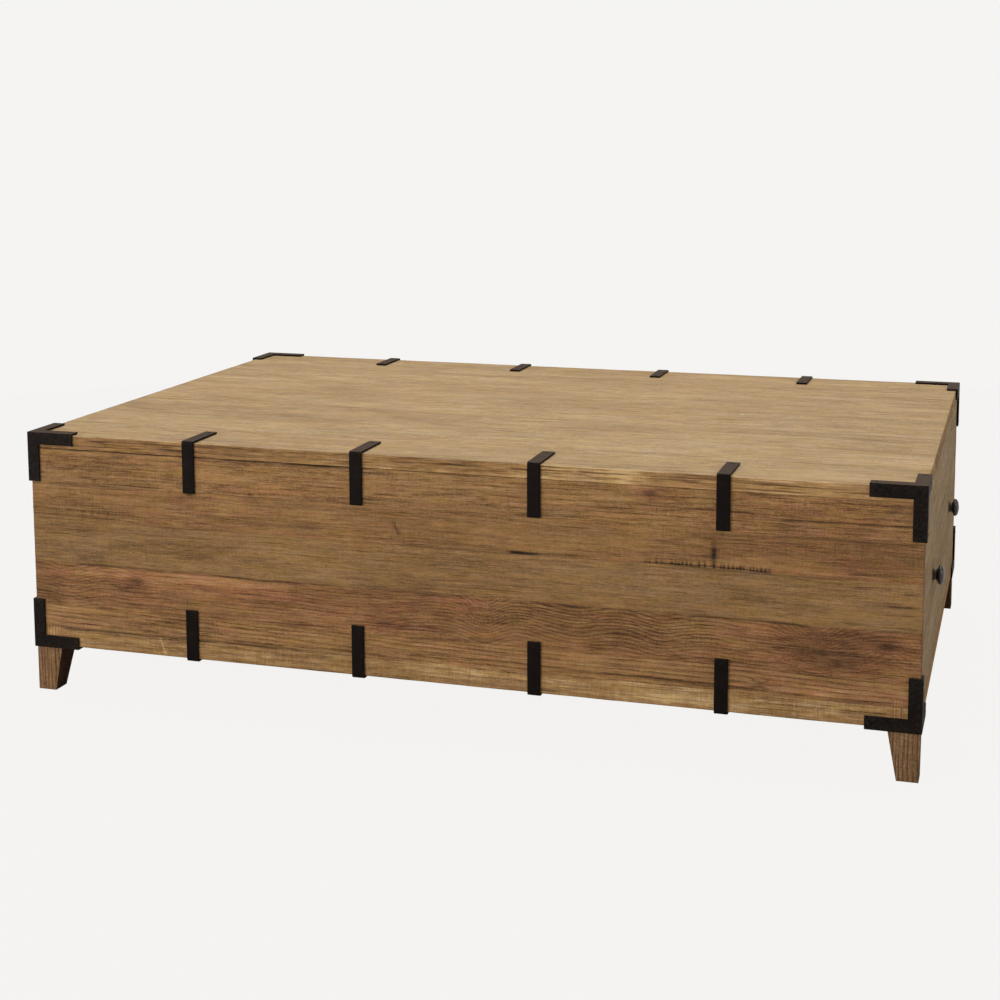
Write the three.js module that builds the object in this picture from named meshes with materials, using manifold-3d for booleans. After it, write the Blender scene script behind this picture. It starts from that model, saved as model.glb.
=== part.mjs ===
// Low plank chest: a four-sided plank carcass that is open at both ends, a drawer sliding out of
// each end, bent flat-bar straps and three-way corner irons over the long edges, and four tapered
// corner feet.
// Millimetres, +Z up, origin on the floor under the middle of the chest. X is the length, -Y is
// the front.
import * as THREE from "three";
import { mergeVertices } from "three/addons/utils/BufferGeometryUtils.js";
import Module from "manifold-3d";

// ---------------------------------------------------------------- driving dimensions
const LENGTH = 1400; // outside of the planks, X
const DEPTH = 900; // outside of the planks, Y
const BODY_H = 347; // carcass height without the feet
const FOOT_H = 75;
const PLANK = 22; // thickness of every carcass plank and drawer face
const GLUE = 0.3; // gap kept at every glued or nailed face
const FIT = 0.3; // clearance of a cut round the part that sits in it
const OVERCUT = 5; // how far a cutting tool runs past the open side of its cut

const IRON_T = 3; // flat bar thickness
const IRON_W = 20; // flat bar width
const CORNER_ARM = 80; // corner iron: arm length from its outer corner
const STRAP_LEG = 83; // strap: leg length from its outer corner
const STRAPS = 4; // per long edge, dividing the length into equal fields

const FOOT_TOP = 45; // width of a foot under the carcass
const FOOT_END = 31; // width of a foot on the floor
const TENON_R = 6.5; // turned tenon on top of each foot
const TENON_H = 17;
const TENON_INSET = 35; // tenon axis from the outer corner of the carcass, both ways

const RUNNER_W = 30;
const RUNNER_H = 15;
const RUNNER_FACE_GAP = 3; // from the end of a runner to the drawer face
const STOP_X = 528; // side of a drawer stop that faces the middle of the chest
const STOP_T = 22; // drawer stop along X
const STOP_W = 60; // along Y
const STOP_H = 16;

const DRAWER_GAP = 2; // shadow gap round a drawer face
const DIVIDER_GAP = 1; // from the divider to the drawers and runners
const SIDE_T = 15; // drawer sides and rear
const SIDE_GAP = 4; // from a drawer side to the long panel, and to the top panel
const SLIDE_GAP = 0.4; // from a drawer side to its runner
const BOTTOM_T = 10; // drawer bottom
const BOTTOM_UP = 6; // drawer bottom above the runners
const BOTTOM_PLAY = 0.4; // from the edge of the drawer bottom to the end of its groove
const GROOVE = 6; // depth of the groove that holds the drawer bottom
const HOUSING = 5; // depth of the housing that holds the drawer rear
const REAR_INSET = 12; // drawer rear from the inner ends of the sides
const REAR_DROP = 4; // top of the drawer rear below the top of the sides
const TAILS = 5; // dovetails on each drawer side
const TAIL_LEN = 14;
const TAIL_ROOT = 0.26; // half width of a dovetail at its root, as a share of the pitch
const TAIL_TIP = 0.34; // the same at its tip
const TAIL_OVERLAP = 6; // how far a dovetail outline runs back into the side

const KNOB_R = 15;
const KNOB_OUT = 17; // how far a knob stands out of the drawer face
const KNOB_SPREAD = 225; // from the middle of the drawer face to each knob
const KNOB_UP = 165; // knob centre above the underside of the carcass
const KNOB_HOLE_R = 2.4; // screw hole in the back of a knob
const KNOB_HOLE_DEPTH = 11;
const FACE_HOLE_R = 2.6; // screw hole through the drawer face

const ROD_SEGMENTS = 24;
const KNOB_SEGMENTS = 28;
const SCREW_SEGMENTS = 16;

// ---------------------------------------------------------------- shared places
const underside = FOOT_H; // of the carcass
const topside = underside + BODY_H;
const halfLength = LENGTH / 2;
const halfDepth = DEPTH / 2;
const innerY = halfDepth - PLANK; // inside faces of the long panels
const panelGluedY = innerY - GLUE; // edges of the planks glued between the long panels
const floorZ = underside + PLANK; // upper side of the bottom panel
const ceilZ = topside - PLANK; // underside of the top panel
const gluedCeilZ = ceilZ - GLUE;
const runnerZ = floorZ + GLUE;
const runnerTop = runnerZ + RUNNER_H;
const drawerStartX = PLANK / 2 + DIVIDER_GAP; // inner end of drawers and runners
const faceIn = halfLength - PLANK; // inner side of a drawer face
const ironOut = GLUE + IRON_T; // outer face of an iron, measured from the wood
const ironIn = IRON_W - ironOut; // inner edge of an iron, measured in from the wood's corner
const quarterTurn = Math.PI / 2;

// The end parts are built for +X and turned half round for -X.
// `near` names the parts on the -Y side as built, `far` those on the +Y side.
const ENDS = [
  { end: "right", turn: 0, near: "front", far: "back" },
  { end: "left", turn: Math.PI, near: "back", far: "front" },
];

// ---------------------------------------------------------------- materials
const wood = ({ color, roughness = 0.75 }) =>
  new THREE.MeshStandardMaterial({ color, roughness, metalness: 0 });
const elmTop = wood({ color: 0xb0946a });
const elmSide = wood({ color: 0x84643f });
const elmFoot = wood({ color: 0x7d5b3c });
const pine = wood({ color: 0xb99c70, roughness: 0.7 });
const iron = new THREE.MeshStandardMaterial({ color: 0x211d1a, roughness: 0.5, metalness: 0.6 });
const steel = new THREE.MeshStandardMaterial({ color: 0x8b8b88, roughness: 0.35, metalness: 1 });

// ---------------------------------------------------------------- joining and cutting
const wasm = await Module();
wasm.setup();

function toSolid(geometry) {
  const bare = geometry.clone();
  bare.deleteAttribute("normal");
  bare.deleteAttribute("uv");
  const merged = mergeVertices(bare, 1e-4);
  return new wasm.Manifold(
    new wasm.Mesh({
      numProp: 3,
      vertProperties: new Float32Array(merged.attributes.position.array),
      triVerts: new Uint32Array(merged.index.array),
    }),
  );
}

function toGeometry(solid) {
  const { numProp, numVert, vertProperties, triVerts } = solid.getMesh();
  const positions = new Float32Array(numVert * 3);
  for (let i = 0; i < numVert; i++) {
    positions.set(vertProperties.subarray(i * numProp, i * numProp + 3), i * 3);
  }
  const geometry = new THREE.BufferGeometry();
  geometry.setAttribute("position", new THREE.BufferAttribute(positions, 3));
  geometry.setIndex(new THREE.BufferAttribute(new Uint32Array(triVerts), 1));
  geometry.computeVertexNormals();
  return geometry;
}

const join = (solid, parts) => parts.reduce((sum, part) => sum.add(toSolid(part)), solid);
const cut = (solid, tools) => tools.reduce((rest, tool) => rest.subtract(toSolid(tool)), solid);

// ---------------------------------------------------------------- basic shapes
// a box; each argument is its [from, to] on one axis
function block([x0, x1], [y0, y1], [z0, z1]) {
  const geometry = new THREE.BoxGeometry(x1 - x0, y1 - y0, z1 - z0);
  return geometry.translate((x0 + x1) / 2, (y0 + y1) / 2, (z0 + z1) / 2);
}

const toVectors = (points) => points.map(([x, y]) => new THREE.Vector2(x, y));

function extrude(points, depth) {
  const shape = new THREE.Shape(toVectors(points));
  return new THREE.ExtrudeGeometry(shape, { depth, bevelEnabled: false });
}

// a closed outline of [x, z] points, extruded from y0 to y1
function alongY(points, [y0, y1]) {
  const geometry = extrude(points, y1 - y0);
  geometry.rotateX(quarterTurn); // shape y -> +Z, depth -> -Y
  return geometry.translate(0, y1, 0);
}

function rodZ(radius, x, y, [z0, z1]) {
  const geometry = new THREE.CylinderGeometry(radius, radius, z1 - z0, ROD_SEGMENTS);
  geometry.rotateX(quarterTurn);
  return geometry.translate(x, y, (z0 + z1) / 2);
}

function rodX(radius, [x0, x1], y, z) {
  const geometry = new THREE.CylinderGeometry(radius, radius, x1 - x0, ROD_SEGMENTS);
  geometry.rotateZ(quarterTurn);
  return geometry.translate((x0 + x1) / 2, y, z);
}

// ---------------------------------------------------------------- groups
function add(parent, name, geometry, material, position = [0, 0, 0], rotation = [0, 0, 0]) {
  const mesh = new THREE.Mesh(geometry, material);
  mesh.name = name;
  mesh.position.set(...position);
  mesh.rotation.set(...rotation);
  parent.add(mesh);
}

function addGroup(parent, turn = 0, position = [0, 0, 0]) {
  const group = new THREE.Group();
  group.position.set(...position);
  group.rotation.z = turn;
  parent.add(group);
  return group;
}

const chest = new THREE.Group();
const carcass = addGroup(chest);
const irons = addGroup(chest);

// ---------------------------------------------------------------- carcass
const fullX = [-halfLength, halfLength];
const betweenPanelsY = [-panelGluedY, panelGluedY];

// bored from below for the four foot tenons
function bottomPanel() {
  const boreZ = [underside - OVERCUT, underside + TENON_H + 1];
  const tenonX = halfLength - TENON_INSET;
  const tenonY = halfDepth - TENON_INSET;
  const bores = [];
  for (const signX of [-1, 1]) {
    for (const signY of [-1, 1]) {
      bores.push(rodZ(TENON_R + FIT, signX * tenonX, signY * tenonY, boreZ));
    }
  }
  return toGeometry(cut(toSolid(block(fullX, betweenPanelsY, [underside, floorZ])), bores));
}

function addPanels() {
  const longPanel = block(fullX, [-PLANK / 2, PLANK / 2], [underside, gluedCeilZ]);
  const panelY = halfDepth - PLANK / 2;
  const divider = block([-PLANK / 2, PLANK / 2], betweenPanelsY, [floorZ + GLUE, gluedCeilZ]);
  const top = block(fullX, [-halfDepth, halfDepth], [ceilZ, topside]);
  add(carcass, "top_panel", top, elmTop);
  add(carcass, "front_panel", longPanel, elmSide, [0, -panelY, 0]);
  add(carcass, "back_panel", longPanel, elmSide, [0, panelY, 0]);
  add(carcass, "bottom_panel", bottomPanel(), elmSide);
  add(carcass, "centre_divider", divider, pine);
}

// runners under the drawer sides, and the blocks that stop the drawers coming out
function addRunnersAndStops() {
  const runner = block(
    [drawerStartX, faceIn - RUNNER_FACE_GAP],
    [-RUNNER_W / 2, RUNNER_W / 2],
    [runnerZ, runnerTop],
  );
  const stop = block(
    [STOP_X, STOP_X + STOP_T],
    [-STOP_W / 2, STOP_W / 2],
    [gluedCeilZ - STOP_H, gluedCeilZ],
  );
  const runnerY = panelGluedY - RUNNER_W / 2;
  for (const { end, turn, near, far } of ENDS) {
    const group = addGroup(carcass, turn);
    add(group, `runner_${end}_${near}`, runner, pine, [0, -runnerY, 0]);
    add(group, `runner_${end}_${far}`, runner, pine, [0, runnerY, 0]);
    add(group, `drawer_stop_${end}`, stop, pine);
  }
}

addPanels();
addRunnersAndStops();

// ---------------------------------------------------------------- corner irons
// Three angle arms meeting at a corner.
// Built for the corner at +X, -Y, top, with the wood's corner at the origin.
function cornerIron() {
  const armIn = CORNER_ARM - ironOut;
  // along an arm
  const longX = [-armIn, ironOut];
  const longY = [-ironOut, armIn];
  const longZ = [-armIn, ironOut];
  // across an arm
  const wideX = [-ironIn, ironOut];
  const wideY = [-ironOut, ironIn];
  const wideZ = [-ironIn, ironOut];
  // through the bar on each face of the chest
  const onTop = [GLUE, ironOut];
  const onFront = [-ironOut, -GLUE];
  const onEnd = [GLUE, ironOut];
  return join(toSolid(block(longX, wideY, onTop)), [
    block(longX, onFront, wideZ),
    block(wideX, longY, onTop),
    block(onEnd, longY, wideZ),
    block(wideX, onFront, longZ),
    block(onEnd, wideY, longZ),
  ]);
}

// Quarter turns carry the +X, -Y corner round the chest.
function addCornerIrons() {
  const geometry = toGeometry(cornerIron());
  for (const [where, signX, signY, turn] of [
    ["front_right", 1, -1, 0],
    ["back_right", 1, 1, quarterTurn],
    ["back_left", -1, 1, 2 * quarterTurn],
    ["front_left", -1, -1, 3 * quarterTurn],
  ]) {
    const x = signX * halfLength;
    const y = signY * halfDepth;
    const upper = addGroup(irons, turn, [x, y, topside]);
    add(upper, `corner_iron_top_${where}`, geometry, iron);
    // Half a turn about the level diagonal through the corner turns the iron over and swaps
    // its X and Y arms, which are alike.
    const flipped = addGroup(addGroup(irons, turn, [x, y, underside]));
    flipped.rotation.set(Math.PI, 0, -quarterTurn, "ZYX");
    add(flipped, `corner_iron_bottom_${where}`, geometry, iron);
  }
}

// ---------------------------------------------------------------- straps
// A bar bent to a right angle over a long edge.
// Built for the top front edge, with the wood's edge along X at the origin.
function strap() {
  const legIn = STRAP_LEG - ironOut;
  // [y, z]
  const outline = [
    [-ironOut, ironOut],
    [-ironOut, -legIn],
    [-GLUE, -legIn],
    [-GLUE, GLUE],
    [legIn, GLUE],
    [legIn, ironOut],
  ];
  const geometry = extrude(outline, IRON_W);
  // shape x -> +Y, shape y -> +Z, depth -> +X
  geometry.applyMatrix4(
    new THREE.Matrix4().makeBasis(
      new THREE.Vector3(0, 1, 0),
      new THREE.Vector3(0, 0, 1),
      new THREE.Vector3(1, 0, 0),
    ),
  );
  return geometry.translate(-IRON_W / 2, 0, 0);
}

function addStraps() {
  const geometry = strap();
  const pitch = LENGTH / (STRAPS + 1);
  for (const [row, y, z, rotation] of [
    ["top_front", -halfDepth, topside, [0, 0, 0]],
    ["top_back", halfDepth, topside, [0, 0, Math.PI]],
    ["bottom_front", -halfDepth, underside, [quarterTurn, 0, 0]],
    ["bottom_back", halfDepth, underside, [Math.PI, 0, 0]],
  ]) {
    for (let i = 1; i <= STRAPS; i++) {
      const position = [-halfLength + i * pitch, y, z];
      add(irons, `strap_${row}_${i}`, geometry, iron, position, rotation);
    }
  }
}

addCornerIrons();
addStraps();

// ---------------------------------------------------------------- feet
// Outer faces upright and flush with the planks, both inner faces tapered, a turned tenon on top,
// and the top let down round the underside plate of the corner iron.
// Built for the +X, -Y corner, with the wood's corner at the origin.
function foot() {
  const reach = 200; // well past the foot on every side
  const top = -GLUE;
  const tenonRoot = 4; // how far the tenon runs down into the foot
  // [x, z]
  const profile = [
    [0, -FOOT_H],
    [0, top],
    [-FOOT_TOP, top],
    [-FOOT_END, -FOOT_H],
  ];
  const taperX = alongY(profile, [-reach, reach]);
  const taperY = taperX.clone().rotateZ(-quarterTurn);
  const post = toSolid(taperX).intersect(toSolid(taperY));
  const tenon = rodZ(TENON_R, -TENON_INSET, TENON_INSET, [top - tenonRoot, TENON_H]);
  const plateZ = [-ironOut - FIT, 0];
  return cut(join(post, [tenon]), [
    block([-ironIn - FIT, reach], [-reach, reach], plateZ),
    block([-reach, reach], [-reach, ironIn + FIT], plateZ),
  ]);
}

function addFeet() {
  const plain = toGeometry(foot());
  const mirrored = toGeometry(foot().mirror([1, 0, 0]));
  for (const [where, signX, signY, geometry, turn] of [
    ["front_right", 1, -1, plain, 0],
    ["back_left", -1, 1, plain, Math.PI],
    ["front_left", -1, -1, mirrored, 0],
    ["back_right", 1, 1, mirrored, Math.PI],
  ]) {
    const position = [signX * halfLength, signY * halfDepth, underside];
    add(carcass, `foot_${where}`, geometry, elmFoot, position, [0, 0, turn]);
  }
}

addFeet();

// ---------------------------------------------------------------- drawers
const knobZ = underside + KNOB_UP;
const sideOut = innerY - SIDE_GAP; // outer side of a drawer side
const sideIn = sideOut - SIDE_T;
const sideZ0 = runnerTop + SLIDE_GAP;
const sideZ1 = ceilZ - SIDE_GAP;
const sideEndX = faceIn - GLUE; // where a side meets the face
const rearX0 = drawerStartX + REAR_INSET;
const rearX1 = rearX0 + SIDE_T;
const bottomZ0 = runnerTop + BOTTOM_UP;
const bottomZ1 = bottomZ0 + BOTTOM_T;
const grooveZ = [bottomZ0 - FIT, bottomZ1 + FIT];

// outline of one dovetail, [x, z]; `grow` widens it for the socket
function tail(i, grow) {
  const pitch = (sideZ1 - sideZ0) / TAILS;
  const middle = sideZ0 + pitch * (i + 0.5);
  const root = pitch * TAIL_ROOT + grow;
  const tip = pitch * TAIL_TIP + grow;
  const startX = faceIn - TAIL_OVERLAP;
  const tipX = faceIn + TAIL_LEN + grow;
  return [
    [startX, middle - root],
    [sideEndX, middle - root],
    [tipX, middle - tip],
    [tipX, middle + tip],
    [sideEndX, middle + root],
    [startX, middle + root],
  ];
}

function tails(grow, rangeY) {
  return Array.from({ length: TAILS }, (_, i) => alongY(tail(i, grow), rangeY));
}

// a plank with sockets for the tails, a groove for the bottom and two screw holes
function drawerFace() {
  const halfWidth = innerY - DRAWER_GAP;
  const grooveEnd = sideIn + GROOVE;
  const plank = block(
    [faceIn, halfLength],
    [-halfWidth, halfWidth],
    [floorZ + DRAWER_GAP, ceilZ - DRAWER_GAP],
  );
  const holeX = [faceIn - OVERCUT, halfLength + OVERCUT];
  return cut(toSolid(plank), [
    ...tails(FIT, [-halfWidth - OVERCUT, -sideIn + FIT]),
    ...tails(FIT, [sideIn - FIT, halfWidth + OVERCUT]),
    block([faceIn - OVERCUT, faceIn + GROOVE], [-grooveEnd, grooveEnd], grooveZ),
    rodX(FACE_HOLE_R, holeX, -KNOB_SPREAD, knobZ),
    rodX(FACE_HOLE_R, holeX, KNOB_SPREAD, knobZ),
  ]);
}

// the -Y side: tails at the face end, a groove for the bottom, a housing for the rear
function drawerSide() {
  const rangeY = [-sideOut, -sideIn];
  const board = toSolid(block([drawerStartX, sideEndX], rangeY, [sideZ0, sideZ1]));
  const groove = block(
    [drawerStartX - OVERCUT, faceIn + TAIL_LEN + OVERCUT],
    [-sideIn - GROOVE, -sideIn + OVERCUT],
    grooveZ,
  );
  const housing = block(
    [rearX0 - FIT, rearX1 + FIT],
    [-sideIn - HOUSING, -sideIn + OVERCUT],
    [bottomZ1 - 1, sideZ1 + OVERCUT], // starts inside the groove
  );
  return cut(join(board, tails(0, rangeY)), [groove, housing]);
}

function drawerRear() {
  const endY = sideIn + HOUSING - FIT;
  return block([rearX0, rearX1], [-endY, endY], [bottomZ1 + GLUE, sideZ1 - REAR_DROP]);
}

function drawerBottom() {
  const edgeY = sideIn + GROOVE - BOTTOM_PLAY;
  return block(
    [drawerStartX + 1, faceIn + GROOVE - BOTTOM_PLAY],
    [-edgeY, edgeY],
    [bottomZ0, bottomZ1],
  );
}

// Turned collar, neck and domed head, with the screw's hole in its back. Its axis is local +Y.
// [radius, height above the drawer face]
const KNOB_PROFILE = [
  [0, KNOB_HOLE_DEPTH], [KNOB_HOLE_R, KNOB_HOLE_DEPTH], [KNOB_HOLE_R, 0],
  [9, 0], [9.4, 1], [8.8, 2.4], [7.9, 3.8], [7.9, 5], [9.6, 6.3], [13.2, 7.8],
  [KNOB_R, 9.8], [14.8, 11.6], [13.2, 13.8], [9.8, 15.6], [5.2, 16.7], [0, KNOB_OUT],
];

// Pan head inside the drawer, plain shank through the face into the knob. Its axis is local +Y.
// [radius, height above the seat of the head]
const SCREW_PROFILE = [
  [0, -2.6], [2.4, -2.5], [3.8, -1.7], [4.2, -0.6], [4.2, 0],
  [2, 0], [2, PLANK + 9], [1.4, PLANK + 10], [0, PLANK + 10.2],
];

function addDrawers() {
  const face = toGeometry(drawerFace());
  const side = toGeometry(drawerSide());
  const sideMirrored = toGeometry(drawerSide().mirror([0, 1, 0]));
  const rear = drawerRear();
  const bottom = drawerBottom();
  const knob = new THREE.LatheGeometry(toVectors(KNOB_PROFILE), KNOB_SEGMENTS);
  const screw = new THREE.LatheGeometry(toVectors(SCREW_PROFILE), SCREW_SEGMENTS);
  const outward = [0, 0, -quarterTurn]; // local +Y -> +X
  for (const { end, turn, near, far } of ENDS) {
    const drawer = addGroup(chest, turn);
    const prefix = `drawer_${end}`;
    add(drawer, `${prefix}_face`, face, elmSide);
    add(drawer, `${prefix}_side_${near}`, side, pine);
    add(drawer, `${prefix}_side_${far}`, sideMirrored, pine);
    add(drawer, `${prefix}_rear`, rear, pine);
    add(drawer, `${prefix}_bottom`, bottom, pine);
    for (const [at, y] of [[near, -KNOB_SPREAD], [far, KNOB_SPREAD]]) {
      const knobAt = [halfLength + GLUE, y, knobZ];
      const screwAt = [faceIn - GLUE, y, knobZ];
      add(drawer, `${prefix}_knob_${at}`, knob, iron, knobAt, outward);
      add(drawer, `${prefix}_knob_screw_${at}`, screw, steel, screwAt, outward);
    }
  }
}

addDrawers();

export default chest;
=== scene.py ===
"""Looks of a low plank chest with a drawer at each end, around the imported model.

Wood is built plank by plank. Each plank is a closed, slightly worn mesh that carries its own
growth-ring field, tint and crack values, and one node material turns those into grain, colour,
roughness and relief.
Units are metres in the scene and millimetres in the tables. X is the length, -Y the front, +Z up.
"""

import math
from types import SimpleNamespace

import bmesh
import bpy
import numpy as np
from mathutils import Matrix, Vector


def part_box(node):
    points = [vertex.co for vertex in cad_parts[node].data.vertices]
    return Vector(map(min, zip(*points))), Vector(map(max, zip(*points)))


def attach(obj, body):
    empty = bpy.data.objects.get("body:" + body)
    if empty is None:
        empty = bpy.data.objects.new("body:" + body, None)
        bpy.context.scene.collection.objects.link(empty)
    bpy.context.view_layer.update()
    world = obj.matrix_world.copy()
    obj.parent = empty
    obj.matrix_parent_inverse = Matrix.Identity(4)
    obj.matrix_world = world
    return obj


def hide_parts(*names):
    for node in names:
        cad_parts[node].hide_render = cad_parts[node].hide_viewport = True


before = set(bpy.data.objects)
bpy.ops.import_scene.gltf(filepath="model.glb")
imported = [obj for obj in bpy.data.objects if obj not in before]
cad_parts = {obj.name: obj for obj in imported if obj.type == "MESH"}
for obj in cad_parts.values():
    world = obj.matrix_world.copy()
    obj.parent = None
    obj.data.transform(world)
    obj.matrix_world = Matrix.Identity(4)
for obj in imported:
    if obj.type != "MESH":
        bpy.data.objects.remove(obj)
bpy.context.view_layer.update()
SCENE = bpy.context.scene
MM = 0.001
X, Y, Z = np.eye(3)


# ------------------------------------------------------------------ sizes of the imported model
def box_mm(node):
    low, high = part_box(node)
    return np.array(low) * 1000, np.array(high) * 1000


top_lo, top_hi = box_mm("top_panel")
front_lo, front_hi = box_mm("front_panel")
back_lo, back_hi = box_mm("back_panel")
face_lo, face_hi = box_mm("drawer_right_face")
side_lo, side_hi = box_mm("drawer_right_side_front")
drawer_bottom_lo, drawer_bottom_hi = box_mm("drawer_right_bottom")
knob_lo, knob_hi = box_mm("drawer_right_knob_front")

CHEST_X, CHEST_Y = top_hi[0], top_hi[1]
CHEST_BOTTOM, CHEST_TOP = front_lo[2], top_hi[2]
KNOB_Y = abs((knob_lo[1] + knob_hi[1]) / 2)
KNOB_Z = (knob_lo[2] + knob_hi[2]) / 2
PANEL_LENGTH = 1400.0
PLANK_THICKNESS = 22.0


# ------------------------------------------------------------------ value noise
def lattice_hash(ix, iy, iz, seed):
    """A repeatable value from 0 to 1 for each lattice corner."""
    mask = np.uint64(0xFFFFFFFF)
    h = (
        ix.astype(np.uint64) * np.uint64(374761393)
        + iy.astype(np.uint64) * np.uint64(668265263)
        + iz.astype(np.uint64) * np.uint64(1442695041)
        + np.uint64(seed * 974634777 + 12345)
    ) & mask
    h = ((h ^ (h >> np.uint64(13))) * np.uint64(1274126177)) & mask
    h = ((h ^ (h >> np.uint64(15))) * np.uint64(2246822519)) & mask
    return ((h ^ (h >> np.uint64(16))) & mask).astype(float) / 4294967295.0


def noise(x, y, z, seed):
    """Smooth noise from -1 to 1."""
    x, y, z = np.broadcast_arrays(x, y, z)
    x, y, z = x + 4096.0, y + 4096.0, z + 4096.0
    ix, iy, iz = (np.floor(c).astype(np.int64) for c in (x, y, z))
    fx, fy, fz = x - ix, y - iy, z - iz
    fx, fy, fz = (f * f * f * (f * (f * 6 - 15) + 10) for f in (fx, fy, fz))
    out = np.zeros(x.shape)
    for a in (0, 1):
        for b in (0, 1):
            for c in (0, 1):
                weight = (fx if a else 1 - fx) * (fy if b else 1 - fy) * (fz if c else 1 - fz)
                out += weight * lattice_hash(ix + a, iy + b, iz + c, seed)
    return out * 2 - 1


def fbm(x, y, z, seed, octaves=3):
    """Noise summed over octaves, each half as strong and twice as fine as the one before."""
    total, amp, norm = 0.0, 1.0, 0.0
    for o in range(octaves):
        total = total + amp * noise(x * 2**o, y * 2**o, z * 2**o, seed + 17 * o)
        norm += amp
        amp *= 0.5
    return total / norm


# ------------------------------------------------------------------ meshes
def block_lattice(us, vs, ws):
    """Surface points of a block and the quads that join them, all facing out."""
    surface = np.zeros((len(us), len(vs), len(ws)), bool)
    surface[0], surface[-1] = True, True
    surface[:, 0], surface[:, -1] = True, True
    surface[:, :, 0], surface[:, :, -1] = True, True
    index = -np.ones(surface.shape, np.int64)
    index[surface] = np.arange(surface.sum())
    where = np.argwhere(surface)
    points = np.stack([us[where[:, 0]], vs[where[:, 1]], ws[where[:, 2]]], 1)
    quads = []

    def side(grid, flip):
        corners = [grid[:-1, :-1], grid[1:, :-1], grid[1:, 1:], grid[:-1, 1:]]
        found = np.stack(corners, -1).reshape(-1, 4)
        quads.append(found[:, ::-1] if flip else found)

    side(index[:, :, -1], False)
    side(index[:, :, 0], True)
    side(index[-1], False)
    side(index[0], True)
    side(index[:, -1, :].T, False)
    side(index[:, 0, :].T, True)
    return points, np.concatenate(quads)


def lines(length, step, edge, extra=()):
    """Lattice lines over a length, with more of them in the rounded edges and at extra places."""
    count = max(2, int(round((length - 2 * edge) / step)))
    base = list(np.linspace(edge, length - edge, count + 1))
    wanted = [0.0, edge * 0.3, *base, length - edge * 0.3, length]
    wanted += [at for at in extra if edge < at < length - edge]
    wanted = sorted(wanted)
    out = [wanted[0]]
    for at in wanted[1:]:
        if at - out[-1] > 0.05:
            out.append(at)
    out[-1] = length
    return np.array(out)


def rounded(points, size, end, ease0, ease1, low=None):
    """Eases the edges of a block's surface points and gives their normals.

    The radii are those of the ends and of the long edges at v = 0 and v = width; low replaces
    the last two in the lower half.
    """
    length, width, thick = size
    u, v, w = points.T
    if low is not None:
        ease0, ease1 = (np.where(w < thick / 2, low, r) for r in (ease0, ease1))

    def overhang(at, full, near, far):
        beyond = np.where(at > full - far, (at - full + far) / far, 0.0)
        return np.where(at < near, (at - near) / near, beyond)

    du = overhang(u, length, end, end)
    dv = overhang(v, width, ease0, ease1)
    rv = np.where(v < width / 2, ease0, ease1)
    rw = np.where(np.abs(dv) > 0, rv, end)
    dw = overhang(w, thick, rw, rw)
    normals = np.stack([du, dv, dw], 1)
    normals = normals / np.maximum(np.linalg.norm(normals, axis=1), 1e-9)[:, None]
    core = np.stack([u - du * end, v - dv * rv, w - dw * rw], 1)
    return core + normals * np.stack([np.full_like(u, end), rv, rw], 1), normals


def make_mesh(name, points, faces, attributes=None):
    """A smooth-shaded object from points in millimetres."""
    mesh = bpy.data.meshes.new(name)
    mesh.from_pydata((points * MM).tolist(), [], faces)
    for key, values in (attributes or {}).items():
        values = np.asarray(values, np.float32)
        if values.ndim == 2:
            layer = mesh.attributes.new(key, "FLOAT_VECTOR", "POINT")
            layer.data.foreach_set("vector", values.ravel())
        else:
            mesh.attributes.new(key, "FLOAT", "POINT").data.foreach_set("value", values)
    mesh.polygons.foreach_set("use_smooth", np.ones(len(mesh.polygons), bool))
    mesh.update()
    obj = bpy.data.objects.new(name, mesh)
    SCENE.collection.objects.link(obj)
    return obj


def face_out(mesh):
    bm = bmesh.new()
    bm.from_mesh(mesh)
    bmesh.ops.recalc_face_normals(bm, faces=bm.faces)
    bm.to_mesh(mesh)
    bm.free()


def merged(parts):
    """Several (points, faces) pairs as one."""
    points, faces = [], []
    for part_points, part_faces in parts:
        faces += [[i + len(points) for i in face] for face in part_faces]
        points += list(part_points)
    return np.array(points), faces


def revolve(profile, sides, place):
    """Points and faces of a turned shape. place puts a (radius, height, angle) in space."""
    points, rows, faces = [], [], []
    for radius, height in profile:
        start = len(points)
        for k in range(sides if radius else 1):
            points.append(place(radius, height, 2 * math.pi * k / sides))
        rows.append(range(start, len(points)))
    for a, b in zip(rows[:-1], rows[1:]):
        for k in range(sides):
            after = (k + 1) % sides
            if len(a) == 1:
                faces.append([a[0], b[k], b[after]])
            elif len(b) == 1:
                faces.append([a[k], b[0], a[after]])
            else:
                faces.append([a[k], b[k], b[after], a[after]])
    return np.array(points), faces


def paint(obj, material):
    obj.data.materials.clear()
    obj.data.materials.append(material)


def install(obj, body, node):
    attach(obj, body)
    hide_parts(node)


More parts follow.
